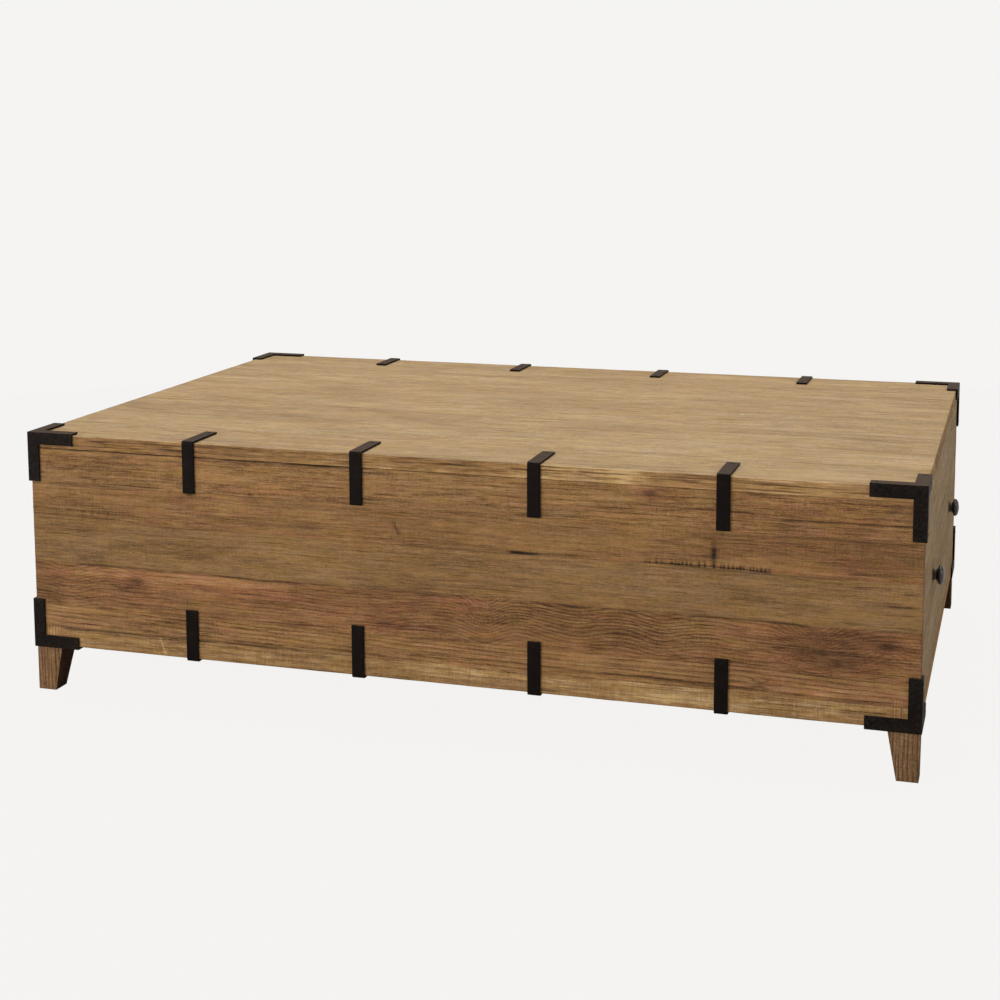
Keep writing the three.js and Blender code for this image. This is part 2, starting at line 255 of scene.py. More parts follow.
# ------------------------------------------------------------------ planks
# Plank options. u runs along the grain, v across it, w up to the show face.
PLANK = dict(
    ease0=0.15, ease1=0.15,  # radii of the long edges at v = 0 and v = width
    ease_low=None,  # radius of the long edges on the hidden side, where it differs
    ease_end=1.6,
    step_u=8.0, step_v=2.6,  # lattice steps
    bends=(None, None),  # noise seeds of the two joints' straying
    drop=0.0,  # how far the show face lies low
    rough=0.16,  # height of the ridges along the grain
    pith=None,  # ring centre: tilt, depth below w = 0, v as a share of the width
    warp=2.4, period=5.2, ring_depth=0.07,
    figure=0.35,  # strength of the ring lines
    cross=0.1,  # strength of the marks across the grain
    grainy=1.0, red=0.0, tone=0.0, tone_spread=0.11, mottle=0.16, dirt=0.5,
    seam0=0.1, seam1=0.1,  # joint dirt: one amount, or amount and (u0, u1, amount) stretches
    cracks=(),  # u0, u1, v, depth, width
    edge_cracks=(),  # u0, u1, w, depth, width; on the edge at v = 0
    edge_tone=(), edge_figure=0.0,  # u, reach, amount, on the same edge; added figure
    knots=(),  # u, v, radius, darkness, pull on the rings
    gouges=(),  # u, v, length across, half width, depth
    ticks=(),  # u, v, reach along, reach across, amount
    plugs=(),  # u0, u1, v0, v1 of rectangles with crosswise grain
    swirls=(),  # u, v, reach along, reach across, amount added to the rings
    fans=(),  # u, v, reach along, reach across, gain
    patches={},  # per field: u, v, reach along, reach across, amount
)
STEP_W = 3.2
JOINT_STRAY = 1.5


def stretch_of(u, start, end, fade):
    """One between start and end, falling to nothing at both over the fade length."""
    return np.clip((u - start) / fade, 0, 1) * np.clip((end - u) / fade, 0, 1)


def joint_wave(u, length, seed):
    """How far a joint between two planks strays from straight at each u; no seed, no straying."""
    if seed is None:
        return 0.0 * u
    fade = stretch_of(u, 0, length, 60)
    return JOINT_STRAY * fade * (0.8 * noise(u / 260, 0, 0, seed) + 0.35 * noise(u / 75, 0, 0, seed + 1))


class Plank:
    """One plank as points, quads and fields over its points. size is (length, width, thickness)."""

    def __init__(self, size, seed, options):
        self.size, self.seed = size, seed
        self.opt = opt = SimpleNamespace(**{**PLANK, **options})
        length, width, thick = size
        extra_u, extra_v, extra_w = self.extra_lines()
        grid, self.quads = block_lattice(
            lines(length, opt.step_u, opt.ease_end, extra_u),
            lines(width, opt.step_v, max(opt.ease0, opt.ease1), extra_v),
            lines(thick, STEP_W, opt.ease_end, extra_w),
        )
        self.points, self.normals = rounded(
            grid, size, opt.ease_end, opt.ease0, opt.ease1, opt.ease_low
        )
        self.u, self.v, self.w = self.points.T
        self.up = np.clip(self.normals[:, 2], 0, 1)
        self.show = self.up > 0.2
        self.front_edge = self.normals[:, 1] < -0.3
        rng = np.random.default_rng(seed)
        self.shift_u, self.shift_v = rng.uniform(0, 900), rng.uniform(0, 900)
        self.dark = np.zeros(len(self.u))
        self.height = np.zeros(len(self.u))
        self.grow_rings(rng)
        self.set_colour()
        self.add_knots()
        self.add_patches()
        self.cut_marks()
        self.dirty_seams()
        self.wear()
        self.run_grain()

    def extra_lines(self):
        """Lattice lines wanted at the details, in u, v and w."""
        opt = self.opt
        along, across, through = [], [], []

        def add(found, at, reach, steps):
            found += [at + reach * step for step in steps]

        for u, v, reach_u, reach_v, _ in opt.ticks:
            add(along, u, reach_u, (-2, -1, 0, 1, 2))
            add(across, v, reach_v, (-1, 0, 1))
        for rows in opt.patches.values():
            for u, _, reach_u, _, _ in rows:
                if reach_u < 20:
                    add(along, u, reach_u, (-1.3, -0.9, -0.5, 0.0, 0.5, 0.9, 1.3))
        for u0, u1, v0, v1 in opt.plugs:
            for u, v in ((u0, v0), (u1, v1)):
                add(along, u, 1, (-1.2, -0.5, 0, 0.5, 1.2))
                add(across, v, 1, (-0.9, 0, 0.9))
        for _, _, w, _, width in opt.edge_cracks:
            add(through, w, width, (-1.4, -0.6, 0, 0.6, 1.4))
        for _, _, v, _, width in opt.cracks:
            add(across, v, width, (-2.2, -1.2, -0.5, 0, 0.5, 1.2, 2.2))
        for u, v, radius, _, _ in opt.knots:
            steps = (0.15, 0.4, 0.7, 1.0, 1.4, 2.0)
            add(along, u, radius, steps)
            add(along, u, -radius, steps)
            add(across, v, radius, (-1.0, -0.5, 0.0, 0.5, 1.0))
        for u, v, long, half, _ in opt.gouges:
            add(along, u, half, (-1, -0.4, 0, 0.4, 1))
            add(across, v, long, (-0.5, 0, 0.5))
        return along, across, through

    def field(self, along, across, through, offset, octaves=3):
        """Noise with these sizes in u, v and w; an infinite size leaves that direction out."""
        return fbm((self.u + self.shift_u) / along, (self.v + self.shift_v) / across,
                   self.w / through, self.seed + offset, octaves)

    def blob(self, u, v, reach_u, reach_v, power=1):
        """A soft spot: one in the middle, fading with distance."""
        distance = ((self.u - u) / reach_u) ** 2 + ((self.v - v) / reach_v) ** 2
        return np.exp(-(distance**power))

    def grow_rings(self, rng):
        """Rings round a pith well to one side, so the lines run along the plank."""
        opt, seed, u = self.opt, self.seed, self.u
        length, width, _ = self.size
        drawn = (rng.uniform(-0.02, 0.02), rng.uniform(50, 110),
                 rng.choice([-1.0, 1.0]) * rng.uniform(1.2, 2.2) + 0.5)
        tilt, depth, across = opt.pith or drawn
        pith_w = -depth + tilt * (u - length / 2)
        pith_v = width * across + 10 * noise(u / 420 + seed, 0, 0, seed)
        ring = np.sqrt((self.v - pith_v) ** 2 + (self.w - pith_w) ** 2)
        ring += opt.warp * self.field(260, 60, 60, 3, 2)
        ring += 2.0 * noise(ring / 15, 0, 0, seed + 5)
        self.ring = ring + 0.8 * self.field(60, 16, 20, 9, 2)

    def set_colour(self):
        opt = self.opt
        self.figure = opt.figure * (1 + 0.9 * self.field(190, 40, 60, 15, 2))
        self.cross = np.full(len(self.u), opt.cross, float)
        self.red = opt.red + 0.45 * self.field(210, 45, 60, 21)
        self.tone = opt.tone + opt.tone_spread * self.field(190, 40, 40, 33, 2)

    def add_knots(self):
        for u, v, radius, strength, pull in self.opt.knots:
            near = self.blob(u, v, 2.6 * radius, 1.6 * radius)
            off = self.v - v
            self.ring += pull * near * np.sign(off + 1e-6) * np.minimum(1, np.abs(off) / radius)
            self.ring += 0.55 * pull * near**2.2
            core = self.blob(u, v, 1.05 * radius, 0.72 * radius, 1.3)
            halo = self.blob(u, v, 3.2 * radius, 1.5 * radius)
            self.dark += strength * (0.72 * core + 0.2 * halo)
            self.red += 0.55 * halo * min(1, strength * 1.4)
            self.height += (-0.35 * core + 0.25 * (halo - core)) * strength

    def add_patches(self):
        """Swirls in the rings, and patches in the fields they are named after."""
        for *place, amount in self.opt.swirls:
            self.ring += amount * self.blob(*place)
        uneven = 0.75 + 0.5 * self.field(40, 9, 30, 71, 2)
        for kind, rows in self.opt.patches.items():
            values = getattr(self, kind)
            for *place, amount in rows:
                values += amount * self.blob(*place, 1.5) * uneven

    def cut_marks(self):
        """Cracks, gouges and ticks in the show face, and what the front edge carries."""
        opt, u, v, seed = self.opt, self.u, self.v, self.seed
        wander = 1.1 * self.field(70, math.inf, math.inf, 41, 2)
        wander += 0.35 * self.field(17, math.inf, math.inf, 43, 1)
        for u0, u1, at, depth, width in opt.cracks:
            broken = 0.74 + 0.75 * fbm((u + self.shift_u) / 38, at, 0, seed + 51)
            along = stretch_of(u, u0, u1, 14) * np.clip(broken, 0.12, 1)
            cut = np.exp(-np.abs((v - at - wander) / (0.85 * width)) ** 1.5) * along * self.show
            self.height -= depth * cut
            self.dark += min(0.9, 0.42 + 0.3 * depth) * cut
        for at, middle, long, half, depth in opt.gouges:
            lean = (v - middle) * 0.28
            cut = np.exp(-(((u - at + lean) / half) ** 2)) * self.show
            cut = cut * np.clip((long / 2 + 1 - np.abs(v - middle)) / 2, 0, 1)
            self.height -= depth * cut
            # deep gouges hold dirt, shallow ones show pale
            if depth > 0.32:
                self.dark += 0.6 * cut
            else:
                self.tone += 0.4 * cut
        for *place, amount in opt.ticks:
            mark = self.blob(*place) * self.show
            self.dark += amount * mark
            self.height -= 0.5 * amount * mark
        for u0, u1, at, depth, width in opt.edge_cracks:
            broken = 0.65 + 0.9 * fbm((u + self.shift_u) / 36, at, 0, seed + 57, 2)
            along = stretch_of(u, u0, u1, 14) * np.clip(broken, 0.0, 1)
            cut = np.exp(-(((self.w - at - 0.7 * wander) / width) ** 2)) * along * self.front_edge
            self.height -= depth * cut
            self.dark += min(1.0, 0.5 + 0.4 * depth) * cut
        for at, reach, amount in opt.edge_tone:
            self.tone += amount * np.exp(-(((u - at) / reach) ** 4)) * self.front_edge
        self.figure += opt.edge_figure * self.front_edge

    def dirty_seams(self):
        """Dirt in stretches along the mating edges, then spots and a mottle on the faces."""
        u, opt = self.u, self.opt
        # the planks on both sides of a joint share its seed
        for at, joint, seam in ((0.0, self.seed - 1, opt.seam0), (self.size[1], self.seed, opt.seam1)):
            base, *windows = seam if isinstance(seam, tuple) else (seam,)
            stretch = 0.35 + 1.3 * fbm((u + 77 * joint) / 110, 0, 0, 900 + joint)
            stretch = np.clip(stretch, 0.0, 1.0)
            amount = base * stretch
            for u0, u1, most in windows:
                held = most * stretch_of(u, u0, u1, 25) * np.clip(stretch + 0.45, 0, 1)
                amount = np.maximum(amount, held)
            near = np.exp(-((np.abs(self.v - at) / (0.9 + 0.9 * amount)) ** 1.6))
            self.dark += amount * near
            self.height -= 0.5 * amount * near * self.show
        spots = np.clip(self.field(22, 4.2, 6, 121) - 0.26, 0, 1)
        areas = np.clip(0.5 + 1.2 * self.field(130, 40, math.inf, 131, 2), 0, 1)
        self.dark += opt.dirt * spots * areas
        self.tone += opt.mottle * self.field(30, 5.0, 6, 141)

    def wear(self):
        """Wear of the arrises, unevenness of the faces and raised grain, moved into the points."""
        opt, normals, v, w = self.opt, self.normals, self.v, self.w
        length, width, thick = self.size
        arris = 1 - np.max(np.abs(normals), axis=1)
        ground = 1.6 * arris * np.clip(self.field(26, 12, 12, 81) - 0.05, 0, 1)
        height = self.height + 0.22 * self.field(160, 38, 38, 91, 2)
        height += opt.rough * self.field(46, 5.4, 5.4, 95, 2)
        height -= opt.ring_depth * (0.5 + 0.5 * np.sin(self.ring / opt.period * 2 * math.pi))
        height -= 0.25
        # mating edges stay tight; every other side takes the wear
        lift = normals * (np.clip(height, -2.2, 0.12) - ground)[:, None]
        if opt.ease0 < 1:
            lift[:, 1] = np.where(normals[:, 1] < 0, 0.03, lift[:, 1])
        if opt.ease1 < 1:
            lift[:, 1] = np.where(normals[:, 1] > 0, -0.03, lift[:, 1])
        self.points = self.points + lift
        bend0, bend1 = (joint_wave(self.u, length, seed) for seed in opt.bends)
        self.points[:, 1] += bend0 * (1 - v / width) + bend1 * (v / width)
        self.points[:, 2] -= opt.drop * (w > thick / 2)
        self.worn = np.clip(arris * 1.5, 0, 1) * (0.5 + 0.5 * self.field(30, 8, 8, 101, 2))

    def run_grain(self):
        """Grain coordinates: fanned out in places and turned crosswise in the plugs."""
        u, v, show = self.u, self.v, self.show
        turned_u, turned_v = v + self.shift_v, u + self.shift_u
        along, across = turned_v, turned_u
        for at, middle, reach_u, reach_v, gain in self.opt.fans:
            near = self.blob(at, middle, reach_u, reach_v, 1.5)
            along = along + gain * near * (v - middle) * (u - at) / reach_u
        for u0, u1, v0, v1 in self.opt.plugs:
            inside = (u > u0) & (u < u1) & (v > v0) & (v < v1) & show
            near = (u > u0 - 2) & (u < u1 + 2) & (v > v0 - 2) & (v < v1 + 2) & show
            rim = np.min(np.abs([u - u0, u - u1, v - v0, v - v1]), axis=0)
            outline = np.maximum(self.dark, 0.3 * np.exp(-((rim / 0.7) ** 2)))
            self.dark = np.where(near, outline, self.dark)
            along = np.where(inside, turned_u, along)
            across = np.where(inside, turned_v, across)
            self.ring = np.where(inside, u * 0.9, self.ring)
            self.figure = np.where(inside, 0.9, self.figure)
            self.red = np.where(inside, self.red + 0.3, self.red)
            self.tone = np.where(inside, self.tone + 0.1, self.tone)
        self.grain = np.stack([along * MM, across * MM, self.w * MM + self.seed * 0.37], 1)

    def attributes(self):
        return {
            "figure": self.figure,
            "end": np.clip(np.abs(self.normals[:, 0]) * 1.3 - 0.2, 0, 1),
            "edge": np.clip(1.2 - 1.4 * self.up, 0, 1),
            "ring": self.ring / self.opt.period,
            "dark": np.clip(self.dark, 0, 1),
            "red": np.clip(self.red, -0.5, 1),
            "tone": self.tone,
            "cross": np.clip(self.cross, 0, 1.5),
            "grainy": self.opt.grainy * (1 + 0.35 * self.field(150, 30, 60, 151, 2)),
            "worn": self.worn,
            "grain": self.grain,
        }


def make_plank(name, origin, axes, size, seed, options, material):
    """A plank object; axes are the scene directions of u, v and w."""
    plank = Plank(size, seed, options)
    points = np.array(origin, float) + plank.points @ np.array(axes, float)
    obj = make_mesh(name, points, plank.quads.tolist(), plank.attributes())
    paint(obj, material)
    return obj


# ------------------------------------------------------------------ node trees
class Nodes:
    """Shorthand for the node tree of a material or world."""

    def __init__(self, owner):
        self.owner = owner
        owner.use_nodes = True
        self.tree = owner.node_tree
        self.tree.nodes.clear()

    def add(self, kind, inputs=None, **props):
        node = self.tree.nodes.new(kind)
        for key, value in props.items():
            setattr(node, key, value)
        for key, value in (inputs or {}).items():
            self.set(node.inputs[key], value)
        return node

    def set(self, socket, value):
        if isinstance(value, bpy.types.NodeSocket):
            self.tree.links.new(value, socket)
        else:
            socket.default_value = value

    def math(self, op, a, b=0.0, c=0.0, clamp=False):
        return self.add("ShaderNodeMath", {0: a, 1: b, 2: c}, operation=op, use_clamp=clamp).outputs[0]

    def times(self, a, b):
        return self.math("MULTIPLY", a, b)

    def centred(self, value):
        return self.math("SUBTRACT", value, 0.5)

    def stack(self, base, *layers):
        """Adds each layer's source, times its weight, to the base."""
        for source, weight in layers:
            base = self.math("MULTIPLY_ADD", source, weight, base)
        return base

    def mix(self, factor, a, b, blend="MIX"):
        return self.add("ShaderNodeMix", {0: factor, 6: a, 7: b}, data_type="RGBA",
                        blend_type=blend, clamp_factor=True).outputs[2]

    def tint(self, factor, colour, by):
        """The colour multiplied by another, as far as the factor says."""
        return self.mix(factor, colour, self.mix(1.0, colour, (*by, 1), "MULTIPLY"))

    def attr(self, name, output="Fac"):
        return self.add("ShaderNodeAttribute", attribute_name=name).outputs[output]

    def coordinates(self, output="Object"):
        return self.add("ShaderNodeTexCoord").outputs[output]

    def split(self, vector):
        return self.add("ShaderNodeSeparateXYZ", {"Vector": vector}).outputs

    def geometry(self, output):
        return self.add("ShaderNodeNewGeometry").outputs[output]

    def scaled(self, vector, scale):
        return self.add("ShaderNodeMapping", {"Vector": vector, "Scale": scale}).outputs[0]

    def noise(self, vector, scale, detail=2.0, rough=0.55, distort=0.0):
        inputs = {"Vector": self.scaled(vector, scale), "Scale": 1.0, "Detail": detail,
                  "Roughness": rough, "Distortion": distort}
        return self.add("ShaderNodeTexNoise", inputs).outputs[0]

    def ramp(self, factor, stops):
        node = self.add("ShaderNodeValToRGB", {"Fac": factor})
        elements = node.color_ramp.elements
        while len(elements) < len(stops):
            elements.new(0.5)
        for element, (position, colour) in zip(elements, stops):
            element.position = position
            element.color = (*colour, 1)
        return node.outputs[0]

    def span(self, value, a, b, c=0.0, d=1.0):
        """Maps a..b to c..d, clamped."""
        inputs = {"Value": value, "From Min": a, "From Max": b, "To Min": c, "To Max": d}
        return self.add("ShaderNodeMapRange", inputs).outputs[0]

    def bump(self, strength, distance, height):
        inputs = {"Strength": strength, "Distance": distance, "Height": height}
        return self.add("ShaderNodeBump", inputs).outputs[0]

    def finish(self, **inputs):
        inputs = {key.replace("_", " "): value for key, value in inputs.items()}
        shader = self.add("ShaderNodeBsdfPrincipled", inputs)
        self.add("ShaderNodeOutputMaterial", {0: shader.outputs[0]})
        return self.owner


def srgb(*channels):
    """Linear colour from 0 to 255 display values."""
    shares = (c / 255 for c in channels)
    return tuple(s / 12.92 if s <= 0.04045 else ((s + 0.055) / 1.055) ** 2.4 for s in shares)


def shades(*rows):
    """Ramp stops from rows of position and display colour."""
    return [(row[0], srgb(*row[1:])) for row in rows]


# ------------------------------------------------------------------ wood material
WOOD = dict(
    axis=None,  # None: the plank's attributes place the grain; else it runs along this object axis
    rings=0.2,  # darkness of the ring lines
    fibre=1.0,  # contrast of the whole grain
    broadly=0.34, speckle=0.6,  # shares of the broad bands and of the fine speckle
    lined=0.26, streaks=0.5, pores=0.4,  # darkness of thin lines, streaks and pores
    hue=1.0,  # how much the hue varies
    bump=0.9, rough=(0.72, 0.95),
    edge_stops=None,  # colours of the sides, where they differ from the show face
    inner_dirt=0.0,  # strength of the painted shade on the sides that face the middle of the chest, shaded by its body
)


def plank_sources(mat):
    names = ("ring", "dark", "red", "tone", "worn", "figure", "end", "cross", "grainy")
    return SimpleNamespace(grain=mat.attr("grain", "Vector"), **{n: mat.attr(n) for n in names})


def axis_sources(mat, axis):
    """The same fields as a plank carries, made up from object coordinates."""
    parts = mat.split(mat.coordinates())
    order = {"X": (0, 1, 2), "Y": (1, 0, 2), "Z": (2, 0, 1)}[axis]
    along, across, through = (parts[i] for i in order)
    grain = mat.add("ShaderNodeCombineXYZ", {"X": along, "Y": across, "Z": through}).outputs[0]
    wander = mat.noise(grain, (2.4, 9, 9))
    side = mat.math("ADD", across, mat.times(through, 0.8))
    spots = mat.span(mat.noise(grain, (3, 120, 120)), 0.68, 0.78)
    sources = SimpleNamespace(
        grain=grain,
        ring=mat.math("ADD", mat.times(side, 170.0), mat.times(wander, 7.0)),
        dark=mat.times(spots, 0.35),
        red=mat.centred(mat.noise(grain, (2, 12, 12), detail=1)),
        tone=mat.times(mat.centred(mat.noise(grain, (4, 22, 22))), 0.25),
    )
    for name, value in dict(worn=0.0, figure=0.6, end=0.0, cross=0.1, grainy=1.0).items():
        output = mat.add("ShaderNodeValue").outputs[0]
        output.default_value = value
        setattr(sources, name, output)
    return sources


def wood_patterns(mat, src):
    """The noise layers that both colour and relief draw on."""

    def layer(along, across, detail=2, rough=0.55, distort=0.0):
        return mat.noise(src.grain, (along, across, across), detail, rough, distort)

    broad = layer(11, 330, detail=3, rough=0.6, distort=0.15)
    fine = layer(30, 900, detail=3, rough=0.6)
    cloud = layer(8, 40, detail=3, rough=0.6)
    streak = mat.span(layer(4.5, 260, rough=0.5, distort=0.1), 0.60, 0.70)
    lean = mat.math("ADD", mat.times(broad, 0.7), mat.times(fine, 0.2))
    wave = mat.math("SINE", mat.times(mat.math("ADD", src.ring, lean), 2 * math.pi))
    late = mat.math("POWER", mat.span(wave, -1, 1), 3.0)
    sawn = mat.math("MULTIPLY_ADD", src.cross, 2.2, mat.span(cloud, 0.5, 0.66, 0.0, 0.5))
    path = layer(3.4, 330, rough=0.5, distort=0.2)
    thin = mat.span(mat.math("ABSOLUTE", mat.centred(path)), 0.0, 0.035, 1.0, 0.0)
    return SimpleNamespace(
        broad=broad,
        fine=fine,
        cloud=cloud,
        hair=layer(60, 2600, rough=0.5),
        pore=mat.span(layer(70, 1500, detail=1, rough=0.4), 0.62, 0.72),
        streak=mat.times(streak, mat.span(cloud, 0.42, 0.62)),
        late=mat.times(late, src.figure),
        fleck=layer(75, 480),
        chatter=mat.times(mat.centred(layer(330, 45, rough=0.5)), sawn),
        speck=layer(420, 850, rough=0.6),
        thin=mat.times(thin, mat.span(layer(6, 90, detail=1), 0.4, 0.62, 0.15, 1.0)),
        shift=layer(26, 125),
    )


def wood_value(mat, src, pat, look):
    """Lightness of the wood, the place on its colour ramp."""
    fibre, band = look.fibre, look.fibre * look.broadly
    value = mat.math("MULTIPLY_ADD", pat.broad, band, -0.5 * band)
    value = mat.stack(
        value,
        (mat.centred(pat.fleck), fibre * 0.28),
        (pat.thin, -look.lined),
        (mat.centred(pat.fine), fibre * 0.56),
        (mat.centred(pat.hair), fibre * 0.45),
        (pat.late, -look.rings),
        (pat.streak, -0.2 * look.streaks),
    )
    value = mat.times(value, mat.span(src.cross, 0.3, 1.1, 1.0, 0.45))
    value = mat.stack(
        value,
        (pat.chatter, fibre * 0.42),
        (mat.centred(pat.speck), fibre * look.speckle),
        (mat.centred(pat.cloud), fibre * 0.22),
    )
    value = mat.math("MULTIPLY_ADD", value, src.grainy, 0.5 + 0.3 * look.lined)
    value = mat.math("ADD", value, src.tone)
    return mat.math("MULTIPLY_ADD", src.end, -0.12, value)


def wood_hue(mat, src, pat, look, colour, reddish):
    """Shifts the colour to reddish, cold and bluish in patches."""
    red = mat.math("MULTIPLY_ADD", mat.centred(pat.shift), 2.1 * look.hue, src.red)
    warm = mat.math("MULTIPLY", mat.math("MAXIMUM", red, 0.0), 1.0, clamp=True)
    colour = mat.tint(warm, colour, reddish)
    cold = mat.math("MAXIMUM", mat.times(red, -1.0), 0.0)
    cold = mat.math("MULTIPLY", cold, 1.0, clamp=True)
    colour = mat.tint(cold, colour, (0.92, 1.01, 1.2))
    drift = mat.noise(mat.scaled(src.grain, (1, 1, 1)), (19, 96, 96))
    blue = mat.span(drift, 0.3, 0.7, 1 - 0.15 * look.hue, 1 + 0.15 * look.hue)
    filter_colour = mat.add("ShaderNodeCombineColor", {"Red": 1.0, "Green": 1.0, "Blue": blue})
    return mat.mix(1.0, colour, filter_colour.outputs[0], "MULTIPLY")


def inner_sides(mat):
    """One on sides that face the middle of the chest: where the painted shade under the chest goes."""
    at = mat.split(mat.geometry("Position"))
    facing = mat.split(mat.geometry("Normal"))
    inner = []
    for i in (0, 1):
        outward = mat.times(mat.math("SIGN", at[i]), facing[i])
        inner.append(mat.span(outward, -0.8, -0.2, 1.0, 0.0))
    return mat.math("MAXIMUM", *inner)


def old_wood(name, stops, crack, reddish, **options):
    """Brushed old timber."""
    look = SimpleNamespace(**{**WOOD, **options})
    mat = Nodes(bpy.data.materials.new(name))
    src = axis_sources(mat, look.axis) if look.axis else plank_sources(mat)
    pat = wood_patterns(mat, src)
    value = wood_value(mat, src, pat, look)
    colour = mat.ramp(value, stops)
    # the sides take a ramp of their own; on the top the show face's ramp carries a painted sheen and the
    # sides do not
    if look.edge_stops:
        colour = mat.mix(mat.attr("edge"), colour, mat.ramp(value, look.edge_stops))
    colour = wood_hue(mat, src, pat, look, colour, reddish)
    colour = mat.tint(mat.times(pat.pore, look.pores), colour, (0.5, 0.44, 0.4))
    held = mat.span(pat.fine, 0.25, 0.7, 0.75, 1.1)
    grime = mat.math("MULTIPLY", src.dark, held, clamp=True)
    colour = mat.mix(grime, colour, (*crack, 1))
    colour = mat.tint(mat.times(src.worn, 0.3), colour, (1.45, 1.4, 1.3))
    if look.inner_dirt:
        # painted shade: the sides that face the middle of the chest are darkened, as if shaded by the
        # chest above
        dirt = mat.times(inner_sides(mat), look.inner_dirt)
        colour = mat.tint(dirt, colour, (0.3, 0.26, 0.23))
    relief = mat.stack(
        mat.times(pat.broad, 0.45),
        (pat.fine, 0.6), (pat.hair, 0.3), (pat.late, -0.3), (pat.pore, -0.4),
        (pat.streak, -0.4), (pat.thin, -0.35), (pat.chatter, 0.25), (src.dark, -0.6),
    )
    smoothest, roughest = look.rough
    return mat.finish(
        Base_Color=colour,
        Roughness=mat.span(pat.fine, 0.25, 0.75, roughest, smoothest),
        Normal=mat.bump(look.bump, 0.0006, relief),
        Specular_IOR_Level=0.22,
    )


# ------------------------------------------------------------------ metal materials
def black_iron(name, specular=0.06, rough_range=(0.36, 0.5), dust_and_reflection=0.34, tint=1.0):
    """Blackened iron, rubbed bright on its edges, and lighter brown where it faces up: dust and a
    painted reflection.
    """
    mat = Nodes(bpy.data.materials.new(name))
    where = mat.coordinates()
    coarse = mat.noise(where, (55, 55, 55), detail=4, rough=0.6)
    fine = mat.noise(where, (420, 420, 420), detail=3, rough=0.6)
    scratch = mat.noise(where, (900, 60, 900), detail=2, rough=0.6)
    blacks = ((0.3, 10, 6, 5), (0.55, 16, 10, 7), (0.8, 31, 20, 13))
    colour = mat.ramp(coarse, [(at, srgb(*(c * tint for c in rgb))) for at, *rgb in blacks])
    rubbed = mat.span(mat.geometry("Pointiness"), 0.53, 0.62)
    rubbed = mat.times(rubbed, mat.span(fine, 0.4, 0.65))
    colour = mat.mix(mat.times(rubbed, 0.5), colour, (*srgb(86, 76, 66), 1))
    # faces that point up turn lighter brown: partly dust, partly a painted grazing reflection of the
    # pale backdrop
    facing_up = mat.span(mat.split(mat.geometry("Normal"))[2], 0.75, 0.98)
    dust_and_reflection_mix = mat.times(facing_up, mat.span(coarse, 0.25, 0.7, dust_and_reflection * 0.6, dust_and_reflection))
    colour = mat.mix(dust_and_reflection_mix, colour, (*srgb(102, 80, 62), 1))
    relief = mat.stack(coarse, (fine, 0.35), (scratch, 0.15))
    return mat.finish(
        Base_Color=colour,
        Roughness=mat.stack(mat.span(coarse, 0.3, 0.75, *rough_range), (fine, 0.2)),
        Normal=mat.bump(0.45, 0.0005, relief),
        Specular_IOR_Level=specular,
    )


def zinc(name):
    mat = Nodes(bpy.data.materials.new(name))
    grit = mat.noise(mat.coordinates(), (700, 700, 700), detail=3, rough=0.6)
    return mat.finish(
        Base_Color=mat.ramp(grit, [(0.3, (0.42, 0.42, 0.40)), (0.7, (0.62, 0.62, 0.60))]),
        Roughness=mat.span(grit, 0.2, 0.8, 0.28, 0.48),
        Normal=mat.bump(0.25, 0.0002, grit),
        Metallic=1.0,
    )


# ramp position, red, green, blue
ELM_SIDE = shades((0.0, 62, 42, 23), (0.25, 104, 75, 43), (0.5, 141, 106, 65),
                  (0.75, 161, 125, 80), (1.0, 190, 157, 108))
# the same elm as ELM_SIDE, lighter in its darks and greyer: a painted sheen on the top's show face
ELM_TOP_SHEEN = shades((0.0, 80, 61, 40), (0.22, 118, 96, 68), (0.5, 144, 119, 85),
                 (0.75, 161, 137, 100), (1.0, 187, 164, 126))
ELM_FOOT = shades((0.0, 54, 37, 22), (0.25, 86, 62, 39), (0.5, 115, 86, 56),
                  (0.75, 136, 106, 72), (1.0, 160, 130, 94))
# the elm made greyer: a painted grazing reflection on the drawer faces
ELM_END_REFLECTION = shades((0.0, 62, 46, 28), (0.25, 98, 77, 50), (0.5, 128, 105, 72),
                 (0.75, 152, 128, 92), (1.0, 182, 158, 118))
PINE = shades((0.0, 108, 80, 50), (0.3, 148, 118, 80), (0.55, 172, 143, 103), (1.0, 200, 174, 134))
CRACK = srgb(34, 23, 14)
REDDISH = (1.06, 0.86, 1.02)
PALE_PINE = dict(rings=0.34, fibre=0.8, bump=0.4, pores=0.2, rough=(0.55, 0.72), speckle=0.3,
                 hue=0.5, lined=0.16)

wood_side = old_wood("elm_side", ELM_SIDE, CRACK, REDDISH, rings=0.26, streaks=0.8)
# the top's show face takes the ramp with the painted sheen; its sides take ELM_SIDE
wood_top = old_wood("elm_top", ELM_TOP_SHEEN, srgb(62, 44, 28), (1.03, 0.92, 0.92), rings=0.18,
                    fibre=1.25, edge_stops=ELM_SIDE, broadly=0.24, speckle=0.45)
# the drawer faces use the greyer ramp with the painted reflection
wood_face = old_wood("elm_drawer", ELM_END_REFLECTION, CRACK, (1.03, 0.9, 0.88))
# the feet's inner sides take the painted shade
wood_foot = old_wood("elm_foot", ELM_FOOT, CRACK, REDDISH, axis="Z", rings=0.45, fibre=1.6,
                     inner_dirt=1.0)
wood_bottom = old_wood("elm_bottom", ELM_SIDE, CRACK, REDDISH, axis="X")
pine_x, pine_y = (
    old_wood(f"pine_{axis.lower()}", PINE, srgb(96, 62, 34), (1.0, 0.9, 0.8), axis=axis, **PALE_PINE)
    for axis in "XY"
)
iron = black_iron("blackened_iron")
knob_iron = black_iron("knob_iron", specular=0.6, rough_range=(0.16, 0.26), dust_and_reflection=0.0, tint=2.2)
screw_zinc = zinc("zinc_screw")


